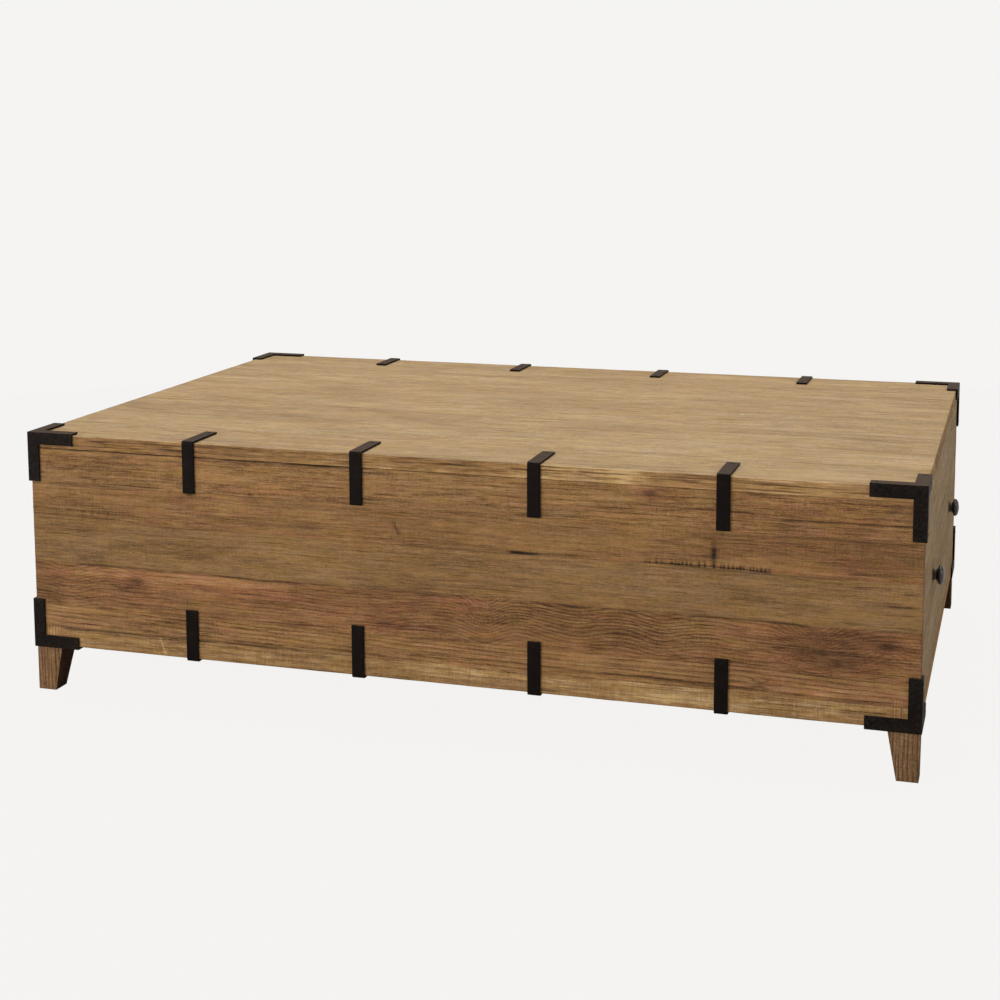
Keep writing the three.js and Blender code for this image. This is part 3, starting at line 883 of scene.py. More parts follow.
# ------------------------------------------------------------------ the three plank panels
def panel(side, material, planks, seams, first_seed, origin, axes, common=None):
    """A row of planks side by side, each its own piece. seams has one entry more than planks."""
    at = 0.0
    joints = [3000 + first_seed * 10 + k for k in range(len(planks) - 1)]
    bends = [None, *joints, None]
    for i, (width, options) in enumerate(planks):
        options = {**(common or {}), "seam0": seams[i], "seam1": seams[i + 1],
                   "bends": (bends[i], bends[i + 1]), **options}
        start = np.array(origin, float) + np.array(axes[1]) * at
        size = (PANEL_LENGTH, width, PLANK_THICKNESS)
        obj = make_plank(f"{side}_plank_{i + 1}", start, axes, size, first_seed + i, options, material)
        install(obj, "carcass", f"{side}_panel")
        at += width


def fitted(planks, height):
    """The planks, with the last one's width changed so that the row fills the height."""
    width, options = planks[-1]
    return [*planks[:-1], (width + height - sum(w for w, _ in planks), options)]


# Each table holds (width, options) per plank; the columns of the lists are given at PLANK.
# top: planks from the front edge to the back edge
TOP = [
    (118, dict(
        ease0=1.7, ease_low=0.3, tone=0.03, tone_spread=0.15, drop=0.1, rough=0.26, step_v=2.2,
        dirt=0.8, edge_figure=0.55,
        edge_tone=[(120, 250, -0.17), (520, 120, -0.05), (905, 80, 0.26), (985, 60, 0.1),
                   (1190, 90, 0.14)],
        cracks=[(60, 330, 9, 0.6, 0.9), (330, 560, 14, 0.5, 0.8), (560, 830, 6, 0.9, 1.1),
                (700, 900, 17, 0.6, 0.9), (900, 1130, 11, 0.7, 1.0), (1120, 1330, 8, 0.5, 0.9),
                (300, 470, 27, 0.3, 0.7), (930, 1060, 34, 0.3, 0.7), (850, 960, 3.5, 1.0, 1.0),
                (870, 1010, 20, 0.7, 0.9)],
        edge_cracks=[(838, 960, 19.2, 1.4, 0.8), (842, 950, 14.2, 1.2, 0.7),
                     (846, 930, 10.2, 1.1, 0.7), (840, 1010, 5.6, 1.0, 0.7),
                     (1130, 1300, 12.4, 1.2, 0.8), (1125, 1240, 4.0, 1.0, 0.8),
                     (60, 330, 15.5, 0.9, 1.0), (200, 620, 9.0, 0.7, 0.9),
                     (60, 420, 6.5, 0.7, 0.8), (380, 560, 16.0, 0.5, 0.8),
                     (520, 860, 13.0, 1.0, 1.1), (700, 980, 7.5, 0.6, 0.8),
                     (980, 1100, 11.0, 0.6, 0.8), (900, 1240, 14.5, 0.8, 0.9),
                     (1010, 1340, 8.5, 0.7, 0.9)],
        patches=dict(tone=[(985, 0, 26, 7, 0.3)], red=[(420, 40, 120, 30, 0.25)],
                     dark=[(560, 14, 150, 16, 0.1), (930, 20, 120, 14, 0.1)]))),
    (112, dict(tone=0.05, dirt=0.35, knots=[(690, 62, 4, 0.2, 5)],
               cracks=[(480, 640, 70, 0.2, 0.6)], patches=dict(tone=[(900, 60, 220, 40, 0.05)]))),
    (126, dict(drop=0.1, dirt=0.35, cracks=[(210, 400, 88, 0.4, 0.8), (610, 820, 96, 0.2, 0.6)],
               patches=dict(dark=[(300, 90, 110, 14, 0.1)], red=[(700, 50, 260, 40, 0.18)]))),
    (104, dict(tone=0.03, drop=0.05, knots=[(1180, 50, 3, 0.15, 5)],
               patches=dict(dark=[(330, 30, 90, 10, 0.1)]))),
    (131, dict(tone=0.01, drop=0.08, patches=dict(tone=[(1065, 24, 2.5, 2.5, 1.6)]))),
    (110, dict(tone=0.03, knots=[(455, 60, 3, 0.2, 5)])),
    (121, dict(drop=0.08, knots=[(905, 40, 3, 0.2, 5)])),
    (78, dict(ease1=1.7, ease_low=0.3, tone=0.02, drop=0.05, rough=0.22, dirt=0.4)),
]
TOP_SEAMS = [0.0, 0.1, 0.08, 0.15, 0.08, 0.08, 0.08, 0.08, 0.0]
panel("top", wood_top, TOP, TOP_SEAMS, 11, top_lo, (X, Y, Z),
      common=dict(tone_spread=0.17, mottle=0.2, dirt=0.3))

# ticks across the fifth front plank: a row of them towards +X, and specks towards -X
tick_rng = np.random.default_rng(5)
draw = tick_rng.uniform
ROW_AT = [1008, 1014, 1023, 1030, 1046, 1051, 1056, 1062, 1068, 1074, 1087, 1093, 1107, 1117, 1122,
          1127, 1134, 1139, 1145, 1151, 1159, 1164, 1169, 1174, 1180, 1186]
TICK_ROW = [
    (at + draw(-1.4, 1.4), 2.8 + draw(-0.4, 1.4), draw(1.0, 2.2), draw(2.6, 6.0),
     draw(0.7, 1.2) * (0.65 if at < 1040 else 1.0))
    for at in ROW_AT
]
SPECKS = [
    (draw(60, 150), draw(8, 54), 0.9, draw(1.0, 2.4), draw(0.25, 0.55))
    for _ in range(22)
]

# front: planks from the bottom edge up
FRONT = [
    (32, dict(
        ease0=1.6, tone=0.07, tone_spread=0.14, red=-0.3, drop=0.1, step_u=6, step_v=2.0, warp=3.5,
        rough=0.24, figure=0.3, mottle=0.3, dirt=0.6, cross=0.22, grainy=1.25,
        cracks=[(40, 236, 30.3, 1.1, 1.05), (232, 330, 29.2, 1.3, 1.15),
                (330, 470, 30.0, 1.0, 1.0), (60, 260, 26.4, 0.5, 0.7),
                (180, 420, 23.4, 0.35, 0.7), (470, 640, 29.6, 0.5, 0.9), (690, 960, 18, 0.4, 0.8),
                (1000, 1300, 25, 0.4, 0.8), (860, 1240, 12, 0.5, 0.8), (700, 900, 7, 0.4, 0.8)],
        plugs=[(19, 43, 15, 31.6), (1360, 1377, 15, 31.6)],
        gouges=[(226, 17, 26, 1.4, 0.3)],
        patches=dict(
            tone=[(700, 16, 200, 16, -0.04), (800, 24, 130, 6, 0.2), (1060, 20, 90, 14, 0.22),
                  (1230, 16, 80, 10, 0.16), (1010, 12, 120, 5, 0.15), (740, 20, 20, 12, 0.08),
                  (90, 20, 40, 12, 0.06), (1130, 10, 60, 5, 0.18)],
            dark=[(540, 20, 90, 12, 0.12)],
            cross=[(740, 18, 30, 14, 0.35), (960, 16, 60, 16, 0.3), (1080, 12, 50, 12, 0.4),
                   (1240, 16, 44, 14, 0.4), (430, 14, 60, 12, 0.3)]))),
    (36, dict(
        tone=-0.03, red=0.1, grainy=1.05, warp=1.6, ring_depth=0.14, figure=0.8, period=4.4,
        step_v=2.0, mottle=0.18,
        knots=[(1175, 15, 4, 0.5, 6)],
        cracks=[(25, 330, 8, 0.6, 0.9), (20, 420, 17, 0.4, 0.8), (40, 300, 25, 0.5, 0.9),
                (330, 640, 4, 0.5, 0.9), (620, 900, 12, 0.5, 0.8), (760, 1080, 22, 0.5, 0.8),
                (900, 1180, 8, 0.4, 0.8), (1060, 1380, 4, 0.7, 1.0), (1100, 1330, 28, 0.4, 0.8)],
        plugs=[(1360, 1377, 0.6, 10)],
        patches=dict(
            tone=[(150, 18, 200, 20, -0.06), (1240, 18, 190, 40, 0.05), (60, 20, 60, 14, 0.06),
                  (1240, 10, 100, 8, 0.1)],
            red=[(1240, 18, 190, 40, 0.5), (420, 16, 90, 12, 0.2)]))),
    (72, dict(
        tone=-0.14, red=0.42, drop=0.1, warp=2.2, pith=(0.0, 60, -1.3), period=4.8,
        ring_depth=0.18, figure=0.5, mottle=0.17, step_u=6, step_v=2.3,
        knots=[(182, 51, 9, 0.22, 5), (603, 17, 11, 0.26, 6), (1353, 50, 10, 0.6, 8),
               (930, 50, 4, 0.3, 4), (742, 52, 5, 0.4, 6)],
        cracks=[(70, 240, 70.4, 0.9, 0.95), (236, 396, 69.8, 1.0, 1.05),
                (392, 520, 70.6, 0.5, 0.9), (930, 1250, 70.6, 0.8, 1.0), (1040, 1130, 5, 0.8, 1.0),
                (560, 700, 70.4, 0.4, 0.9), (100, 330, 62, 0.35, 0.7)],
        swirls=[(690, 30, 50, 70, -6), (762, 60, 26, 60, 13), (815, 20, 34, 80, -7),
                (905, 50, 36, 70, 5), (965, 60, 40, 70, -4), (1030, 30, 30, 70, 6),
                (1100, 50, 40, 70, -4), (1252, 60, 36, 70, 24), (1352, 40, 22, 40, -10),
                (60, 40, 34, 60, 7), (130, 60, 30, 50, -5), (520, 20, 70, 60, 4)],
        fans=[(1280, 4, 80, 60, 2.2), (760, 20, 34, 40, 0.8)],
        patches=dict(
            dark=[(22, 36, 40, 36, 0.34), (1235, 44, 40, 26, 0.26), (1300, 46, 56, 28, 0.3),
                  (1276, 26, 44, 16, 0.2), (603, 19, 26, 14, 0.26), (182, 51, 17, 10, 0.36)],
            red=[(30, 50, 40, 20, 0.6), (400, 45, 75, 12, 0.55), (1290, 36, 130, 60, 0.3),
                 (603, 19, 34, 18, 0.7), (755, 58, 40, 12, 0.5), (182, 51, 24, 14, 1.0),
                 (230, 60, 170, 10, 0.1)],
            tone=[(1290, 40, 90, 34, -0.12), (230, 61, 160, 9, 0.38), (340, 62, 90, 6, 0.2),
                  (1090, 40, 140, 40, -0.03), (620, 34, 90, 20, -0.06), (800, 60, 120, 10, 0.1)],
            cross=[(1275, 44, 76, 32, 0.15), (760, 48, 24, 20, 0.6)],
            figure=[(900, 40, 190, 34, 0.55), (1240, 60, 30, 34, -0.4), (150, 44, 80, 30, 0.3)]))),
    (70, dict(
        tone=-0.1, red=-0.2, grainy=0.8, drop=0.05, warp=1.8, figure=0.22, mottle=0.11, dirt=0.35,
        cross=0.06,
        cracks=[(350, 470, 57, 0.4, 0.8), (1318, 1399, 36, 1.8, 1.7), (1340, 1399, 24, 1.5, 1.5),
                (1060, 1300, 68.4, 0.9, 0.9), (560, 700, 44, 0.3, 0.7), (1290, 1399, 6, 0.7, 1.0),
                (1365, 1399, 54, 0.9, 1.3), (20, 120, 60, 0.5, 0.9), (960, 1120, 66, 0.4, 0.8)],
        patches=dict(
            tone=[(1110, 40, 140, 30, -0.04), (150, 34, 230, 40, -0.17)],
            red=[(1110, 40, 140, 30, -0.5), (1240, 30, 60, 30, 0.1), (820, 40, 160, 30, -0.2)]))),
    (57, dict(
        tone=-0.13, red=0.08, grainy=0.85, warp=2.0, figure=0.28, mottle=0.12, cross=0.16,
        knots=[(1107, 27, 4.5, 0.5, 6), (107, 14, 3, 0.35, 4), (53, 13, 2.5, 0.3, 4),
               (280, 55, 4, 0.5, 4)],
        cracks=[(796, 856, 2.6, 2.2, 2.1), (846, 930, 3.4, 1.0, 1.0), (998, 1192, 1.8, 1.1, 1.1),
                (1290, 1390, 8, 0.6, 1.0), (640, 700, 3.5, 0.6, 1.1), (700, 800, 2.6, 0.3, 0.8),
                (1350, 1399, 20, 0.8, 1.1), (1186, 1399, 53, 1.3, 1.4), (25, 200, 54, 0.6, 1.0),
                (1190, 1290, 40, 0.4, 0.8)],
        gouges=[(624, 24, 30, 1.4, 0.6)],
        ticks=TICK_ROW + SPECKS,
        patches=dict(
            red=[(1280, 30, 150, 60, 0.45), (1330, 30, 90, 50, 0.3)],
            dark=[(1107, 12, 5, 14, 0.6), (1107, 30, 4, 15, 0.75), (1107, 34, 14, 22, 0.2),
                  (383, 54, 16, 7, 0.45), (283, 55, 14, 5, 0.5), (440, 20, 60, 10, 0.1),
                  (812, 2.8, 13, 2.2, 0.95), (836, 2.6, 15, 1.5, 0.7)],
            tone=[(1330, 28, 60, 14, -0.06), (170, 30, 200, 40, -0.09),
                  (1290, 40, 100, 22, -0.06)],
            cross=[(110, 30, 60, 26, 0.12)]))),
    (58.7, dict(
        tone=-0.06, red=0.12, grainy=1.15, drop=0.12, warp=2.0, figure=0.4, mottle=0.18, dirt=0.6,
        cross=0.12, seam0=(0.08, (10, 230, 0.4), (330, 420, 0.3)),
        knots=[(383, 4, 4, 0.6, 5), (113, 8, 4, 0.5, 4), (1013, 48, 9, 0.2, 6),
               (760, 22, 6, 0.3, 5), (485, 8, 3, 0.4, 4), (78, 30, 3, 0.5, 4)],
        cracks=[(1195, 1392, 22, 1.8, 1.7), (1198, 1250, 26, 0.8, 1.0), (620, 830, 34, 0.3, 0.7),
                (25, 130, 2.0, 0.8, 1.1), (130, 240, 3.2, 1.1, 1.3), (290, 420, 4.5, 0.5, 0.9),
                (940, 1190, 44, 0.4, 0.8), (60, 330, 56.9, 1.1, 1.3), (322, 600, 56.9, 2.0, 2.2),
                (200, 420, 46, 0.4, 0.8)],
        patches=dict(
            tone=[(120, 30, 160, 34, -0.12), (985, 55, 28, 4, 0.3), (250, 30, 140, 24, 0.05),
                  (1290, 26, 130, 30, -0.08)],
            red=[(1230, 30, 200, 60, 0.45), (1013, 48, 34, 10, 1.0), (400, 14, 110, 8, 0.4),
                 (813, 20, 24, 14, 0.5)],
            dark=[(1013, 48, 18, 6, 0.34), (1205, 10, 22, 8, 0.3), (700, 6, 160, 5, 0.14)]))),
]
FRONT_SEAMS = [
    0.1,
    (0.12, (25, 480, 0.5), (560, 640, 0.35), (1080, 1380, 0.4)),
    0.12,
    (0.12, (70, 390, 0.5), (560, 700, 0.3), (1060, 1250, 0.6), (1300, 1399, 0.3)),
    (0.12, (610, 860, 0.45), (1020, 1190, 0.4), (220, 330, 0.3)),
    (0.1, (10, 230, 0.45), (330, 420, 0.3)),
    (0.06, (20, 600, 0.9), (600, 720, 0.4), (940, 1380, 0.25)),
]
panel("front", wood_side, fitted(FRONT, front_hi[2] - front_lo[2]), FRONT_SEAMS, 21,
      (front_lo[0], front_hi[1], front_lo[2]), (X, Z, -Y))

# back: planks from the bottom edge up
BACK = [
    (52, dict(ease0=2.0, tone=0.06, drop=0.1)),
    (70, dict(red=0.2, knots=[(420, 30, 7, 0.7, 9), (1130, 44, 5, 0.6, 8)],
              cracks=[(600, 860, 20, 0.5, 0.9)])),
    (66, dict(tone=-0.05, drop=0.12, knots=[(980, 20, 6, 0.6, 9)],
              cracks=[(80, 300, 40, 0.5, 0.9)])),
    (74, dict(tone=0.03, red=0.25, warp=3.5, swirls=[(700, 36, 90, 30, 24)],
              knots=[(240, 50, 8, 0.7, 11)])),
    (62.7, dict(drop=0.1, cracks=[(900, 1200, 30, 0.6, 1.0)], knots=[(560, 20, 5, 0.6, 8)])),
]
BACK_SEAMS = [0.1, 0.1, 0.1, 0.1, 0.1, 0.9]
panel("back", wood_side, fitted(BACK, back_hi[2] - back_lo[2]), BACK_SEAMS, 31,
      (back_hi[0], back_lo[1], back_lo[2]), (-X, Z, Y))

# ------------------------------------------------------------------ drawer faces
# planks from the bottom edge up; their widths are scaled to the face's height
FACE = [
    (96, dict(tone=0.03, red=0.05, seam0=0.2, seam1=0.6, ease0=1.6, knots=[(300, 40, 6, 0.6, 9)],
              cracks=[(500, 740, 30, 0.4, 0.9)])),
    (104, dict(tone=-0.04, red=0.1, drop=0.1, seam0=0.6, seam1=0.5,
               knots=[(650, 66, 5, 0.6, 8)], swirls=[(420, 50, 70, 34, 20)])),
    (99, dict(tone=0.02, seam0=0.5, seam1=0.2, ease1=1.6, cracks=[(40, 260, 60, 0.5, 0.9)],
              knots=[(180, 30, 4, 0.5, 7)])),
]
DOVETAILS = 5
SOCKET_DEPTH = 14.4
SOCKET_CLEARANCE = 0.35
ROOT_SHARE, TIP_SHARE = 0.26, 0.34  # half widths of a socket as shares of the pitch
GROOVE_DEPTH = 6
GROOVE_REACH = 5.9  # how far the groove runs past the inner faces of the sides
SCREW_HOLE_RADIUS = 2.65
FIT = 0.3


def drawer_face(end, sign, seed):
    """The three planks of a face, showing their face outwards."""
    lo, hi = box_mm(f"drawer_{end}_face")
    total = sum(width for width, _ in FACE)
    origin = (lo[0], lo[1], lo[2]) if sign > 0 else (hi[0], hi[1], lo[2])
    axes = (sign * Y, Z, sign * X)
    at, boards = 0.0, []
    for i, (width, options) in enumerate(FACE):
        width = width * (hi[2] - lo[2]) / total
        boards.append(make_plank(
            f"drawer_{end}_face_plank_{i + 1}", np.array(origin) + Z * at, axes,
            (hi[1] - lo[1], width, PLANK_THICKNESS), seed + i,
            dict(options, ease_end=1.2, step_u=7.0), wood_face,
        ))
        at += width
    return boards


def extruded(ring_a, ring_b):
    """A closed bar between two outlines with the same number of points."""
    n = len(ring_a)
    sides = [[i, (i + 1) % n, n + (i + 1) % n, n + i] for i in range(n)]
    return ring_a + ring_b, [list(range(n))[::-1], list(range(n, 2 * n)), *sides]


def prism(outline, y0, y1):
    """An (x, z) outline drawn out along Y."""
    return extruded([(x, y0, z) for x, z in outline], [(x, y1, z) for x, z in outline])


def screw_hole(sign, y, sides=28):
    rings = []
    for x in (sign * (face_lo[0] - 6), sign * (face_hi[0] + 6)):
        turns = [2 * math.pi * k / sides for k in range(sides)]
        rings.append([(x, y + SCREW_HOLE_RADIUS * math.cos(a), KNOB_Z + SCREW_HOLE_RADIUS * math.sin(a))
                      for a in turns])
    return extruded(*rings)


def cutter(name, parts, sign=1):
    """Closed parts as one mesh facing out, turned half round for the left-hand end."""
    points, faces = merged(parts)
    mesh = bpy.data.meshes.new(name)
    mesh.from_pydata((points * (sign, sign, 1) * MM).tolist(), [], faces)
    face_out(mesh)
    return mesh


def face_cutters(sign):
    """What is taken out of a face: sockets at each side, the bottom's groove, the screw holes."""
    inner = face_lo[0]
    pitch = (side_hi[2] - side_lo[2]) / DOVETAILS
    root, tip = (pitch * share + SOCKET_CLEARANCE for share in (ROOT_SHARE, TIP_SHARE))
    outer_y, inner_y = abs(side_lo[1]), abs(side_hi[1])
    sockets = []
    for y0, y1 in ((-(outer_y + 8), -inner_y + FIT), (inner_y - FIT, outer_y + 8)):
        for i in range(DOVETAILS):
            mid = side_lo[2] + pitch * (i + 0.5)
            sockets.append(prism([
                (inner - 6, mid - root), (inner - FIT, mid - root), (inner + SOCKET_DEPTH, mid - tip),
                (inner + SOCKET_DEPTH, mid + tip), (inner - FIT, mid + root), (inner - 6, mid + root),
            ], y0, y1))
    low, high = drawer_bottom_lo[2] - FIT, drawer_bottom_hi[2] + FIT
    outline = [(inner - 5, low), (inner + GROOVE_DEPTH, low), (inner + GROOVE_DEPTH, high),
               (inner - 5, high)]
    reach = inner_y + GROOVE_REACH
    holes = [screw_hole(sign, y) for y in (-KNOB_Y, KNOB_Y)]
    return (cutter("sockets", sockets, sign), cutter("groove", [prism(outline, -reach, reach)], sign),
            cutter("rods", holes))


def cut_with(obj, meshes):
    """Cuts obj with closed meshes and keeps the result."""
    tools = []
    for i, mesh in enumerate(meshes):
        tool = bpy.data.objects.new(f"tool_{i}", mesh)
        SCENE.collection.objects.link(tool)
        mod = obj.modifiers.new(f"cut_{i}", "BOOLEAN")
        mod.operation = "DIFFERENCE"
        mod.solver = "MANIFOLD"
        mod.object = tool
        tools.append(tool)
    bpy.context.view_layer.update()
    graph = bpy.context.evaluated_depsgraph_get()
    done = bpy.data.meshes.new_from_object(
        obj.evaluated_get(graph), preserve_all_data_layers=True, depsgraph=graph
    )
    obj.modifiers.clear()
    old = obj.data
    obj.data = done
    bpy.data.meshes.remove(old)
    for tool in tools:
        bpy.data.objects.remove(tool)


for end, sign, seed in (("right", 1, 61), ("left", -1, 71)):
    for board in drawer_face(end, sign, seed):
        cut_with(board, face_cutters(sign))
        install(board, f"drawer_{end}", f"drawer_{end}_face")

# ------------------------------------------------------------------ nail heads
NAIL_RADIUS, NAIL_HEIGHT = 2.6, 0.7
# radius and height as shares; the flat back is sunk in the iron
NAIL = [(0.0, 1.0), (0.35, 0.95), (0.65, 0.78), (0.88, 0.45), (1.0, 0.0), (1.0, -0.4), (0.0, -0.4)]


def nail_head(centre, normal, side, seed):
    """A low, slightly uneven domed nail head."""
    centre, normal, side = (np.array(vector, float) for vector in (centre, normal, side))
    other = np.cross(normal, side)

    def place(radius, height, angle):
        reach = radius * NAIL_RADIUS * (1 + 0.06 * math.sin(3 * angle + seed))
        outward = side * math.cos(angle) + other * math.sin(angle)
        return centre + outward * reach + normal * height * NAIL_HEIGHT

    return revolve(NAIL, 20, place)


# ------------------------------------------------------------------ straps: flat bar bent over an edge
STRAP_LEG = 79.7
STRAP_GAP = 0.3  # clearance to the wood
STRAP_INNER_RADIUS = 0.9
STRAP_THICKNESS = 3.0
STRAP_WIDTH = 20.0
STRAP_EDGE = 0.55
STRAP_NAIL_AT = 70.5  # distance of both nails from the wood edge
STRAP_NAIL_LIFT = 3.22


def strap_bar(seed):
    """A strap over the top front edge, the wood edge being the X axis."""
    inner, thick, edge = STRAP_INNER_RADIUS, STRAP_THICKNESS, STRAP_EDGE
    straight = STRAP_LEG + STRAP_GAP - inner
    arc = math.pi / 2 * (inner + thick / 2)
    total = 2 * straight + arc
    in_bend = [straight + arc * f for f in (0, 0.15, 0.3, 0.45, 0.6, 0.75, 0.9, 1.0)]
    grid, quads = block_lattice(
        lines(total, 3.2, edge, in_bend),
        lines(STRAP_WIDTH, 2.5, edge),
        np.array([0, 0.2, edge, 1.5, thick - edge, thick - 0.2, thick]),
    )
    points, normals = rounded(grid, (total, STRAP_WIDTH, thick), edge, edge, edge)
    s, v, t = points.T
    dents = 0.10 * fbm(s / 14 + seed * 3, v / 11, 0, seed, 2) - 0.06
    t = t + np.where(normals[:, 2] > 0.5, dents, 0)
    half = STRAP_WIDTH / 2
    x = v - half + 0.12 * fbm(s / 25, seed, 0, seed + 5, 2) * np.sign(v - half)
    down, far = s < straight, s > straight + arc
    bend = np.clip((s - straight) / arc, 0, 1) * math.pi / 2
    centre_y, centre_z = -STRAP_GAP + inner, STRAP_GAP - inner
    y = centre_y - (inner + t) * np.cos(bend)
    z = centre_z + (inner + t) * np.sin(bend)
    y = np.where(down, -STRAP_GAP - t, np.where(far, centre_y + (s - straight - arc), y))
    z = np.where(down, -STRAP_LEG + s, np.where(far, STRAP_GAP + t, z))
    # bending swaps the lattice's handedness, so the quads are turned round
    return np.stack([x, y, z], 1), quads[:, ::-1].tolist()


def turn_x(angle):
    c, s = math.cos(angle), math.sin(angle)
    return np.array([[1, 0, 0], [0, c, -s], [0, s, c]])


def turn_z(angle):
    c, s = math.cos(angle), math.sin(angle)
    return np.array([[c, -s, 0], [s, c, 0], [0, 0, 1]])


# row of straps: y and z of the wood edge, turn from the top front edge
STRAP_ROWS = {
    "top_front": (-CHEST_Y, CHEST_TOP, np.eye(3)),
    "top_back": (CHEST_Y, CHEST_TOP, turn_z(math.pi)),
    "bottom_front": (-CHEST_Y, CHEST_BOTTOM, turn_x(math.pi / 2)),
    "bottom_back": (CHEST_Y, CHEST_BOTTOM, turn_x(math.pi)),
}


def strap(row, row_index, i):
    name = f"strap_{row}_{i}"
    lo, hi = box_mm(name)
    y, z, turn = STRAP_ROWS[row]
    points, faces = merged([
        strap_bar(200 + row_index * 10 + i),
        nail_head((0, -STRAP_NAIL_LIFT, -STRAP_NAIL_AT), -Y, X, i + row_index),
        nail_head((0, STRAP_NAIL_AT, STRAP_NAIL_LIFT), Z, X, i + row_index),
    ])
    points = points @ turn.T + np.array([(lo[0] + hi[0]) / 2, y, z])
    obj = make_mesh(f"{name}_bar", points, faces)
    face_out(obj.data)
    paint(obj, iron)
    install(obj, "carcass", name)


for row_index, row in enumerate(STRAP_ROWS):
    for i in range(1, 5):
        strap(row, row_index, i)

# ------------------------------------------------------------------ corner irons
PLATE_EASE = 0.0006
PLATE_NAIL_LIFT = 3.25
PLATE_NAIL_FAR, PLATE_NAIL_NEAR = 67.5, 6.7  # a nail's distances from the chest's corner
OUT, FAR, NEAR = PLATE_NAIL_LIFT, -PLATE_NAIL_FAR, -PLATE_NAIL_NEAR
# centre from the corner at +X +Y +Z, normal, sideways direction
PLATE_NAILS = [
    ((FAR, OUT, NEAR), Y, X), ((NEAR, OUT, FAR), Y, X),
    ((OUT, FAR, NEAR), X, Y), ((OUT, NEAR, FAR), X, Y),
    ((FAR, NEAR, OUT), Z, X), ((NEAR, FAR, OUT), Z, X),
]


def eased_plate(node, name, nails):
    """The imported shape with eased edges, plus nail heads."""
    bm = bmesh.new()
    bm.from_mesh(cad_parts[node].data)
    bmesh.ops.remove_doubles(bm, verts=bm.verts, dist=1e-5)
    bmesh.ops.dissolve_limit(bm, angle_limit=math.radians(2), verts=bm.verts, edges=bm.edges)
    sharp = [e for e in bm.edges
             if len(e.link_faces) == 2 and e.calc_face_angle(0) > math.radians(30)]
    bmesh.ops.bevel(bm, geom=sharp, offset=PLATE_EASE, offset_type="OFFSET", segments=2,
                    profile=0.5, affect="EDGES", clamp_overlap=True)
    bmesh.ops.triangulate(bm, faces=[f for f in bm.faces if len(f.verts) > 4])
    mesh = bpy.data.meshes.new(name)
    bm.to_mesh(mesh)
    bm.free()
    # read back first, so that the nails' vertices follow the plate's
    bm = bmesh.new()
    bm.from_mesh(mesh)
    for points, faces in nails:
        verts = [bm.verts.new(Vector(point) * MM) for point in points]
        for face in faces:
            bm.faces.new([verts[k] for k in face])
    bmesh.ops.recalc_face_normals(bm, faces=bm.faces)
    bm.to_mesh(mesh)
    bm.free()
    mesh.polygons.foreach_set("use_smooth", np.ones(len(mesh.polygons), bool))
    mesh.set_sharp_from_angle(angle=math.radians(40))
    obj = bpy.data.objects.new(name, mesh)
    SCENE.collection.objects.link(obj)
    return obj


def corner_iron(node, flip, z):
    """flip holds the signs that take the +X +Y +Z corner to this one."""
    corner = np.array([flip[0] * CHEST_X, flip[1] * CHEST_Y, z], float)
    nails = [nail_head(corner + np.array(centre) * flip, normal * flip, side, i)
             for i, (centre, normal, side) in enumerate(PLATE_NAILS)]
    obj = eased_plate(node, f"{node}_plate", nails)
    mod = obj.modifiers.new("weights", "WEIGHTED_NORMAL")
    mod.keep_sharp = True
    paint(obj, iron)
    install(obj, "carcass", node)


for where, sx, sy in (("front_right", 1, -1), ("back_right", 1, 1), ("back_left", -1, 1),
                      ("front_left", -1, -1)):
    for level, sz, z in (("top", 1, CHEST_TOP), ("bottom", -1, CHEST_BOTTOM)):
        corner_iron(f"corner_iron_{level}_{where}", np.array([sx, sy, sz], float), z)

# ------------------------------------------------------------------ knobs: turned, a little uneven
# radius, distance out from the drawer face
KNOB = [
    (0.0, 11.0), (2.4, 11.0), (2.4, 0.0), (8.6, 0.0), (9.2, 0.2), (9.4, 0.8), (9.3, 1.5),
    (8.8, 2.3), (8.2, 3.1), (7.9, 3.9), (7.9, 4.8), (8.5, 5.6), (9.8, 6.4), (11.6, 7.1),
    (13.3, 7.8), (14.5, 8.7), (15.0, 9.8), (14.9, 11.2), (14.3, 12.5), (13.2, 13.8), (11.6, 14.9),
    (9.6, 15.7), (7.2, 16.3), (4.6, 16.75), (2.0, 16.95), (0.0, 17.0),
]
KNOB_GAP = 0.3
KNOB_REACH = 16.98


def knob(end, where, sign, y, seed):
    def place(radius, out, angle):
        if out > 6:
            uneven = 0.012 * math.sin(2 * angle + seed) + 0.008 * math.sin(5 * angle + 2 * seed)
            reach = radius * (1 + uneven)
        else:
            reach = radius
        if out > 9:
            out = out - 0.18 * (0.5 + 0.5 * math.sin(3 * angle + seed + radius))
        return (sign * (CHEST_X + KNOB_GAP) + sign * min(out, KNOB_REACH),
                y + reach * math.cos(angle), KNOB_Z + reach * math.sin(angle))

    node = f"drawer_{end}_knob_{where}"
    obj = make_mesh(f"{node}_turned", *revolve(KNOB, 72, place))
    face_out(obj.data)
    obj.data.set_sharp_from_angle(angle=math.radians(60))
    paint(obj, knob_iron)
    install(obj, f"drawer_{end}", node)


for end, sign in (("right", 1), ("left", -1)):
    knob(end, "front", sign, -KNOB_Y, 1.3 + sign)
    knob(end, "back", sign, KNOB_Y, 2.9 + sign)


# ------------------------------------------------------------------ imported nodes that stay
def keep(obj, material, ease):
    """Paints a packed object and eases its edges; ease is in metres."""
    paint(obj, material)
    bevel = obj.modifiers.new("ease", "BEVEL")
    bevel.width = ease
    bevel.segments = 2
    bevel.limit_method = "ANGLE"
    bevel.angle_limit = math.radians(35)
    bevel.use_clamp_overlap = True


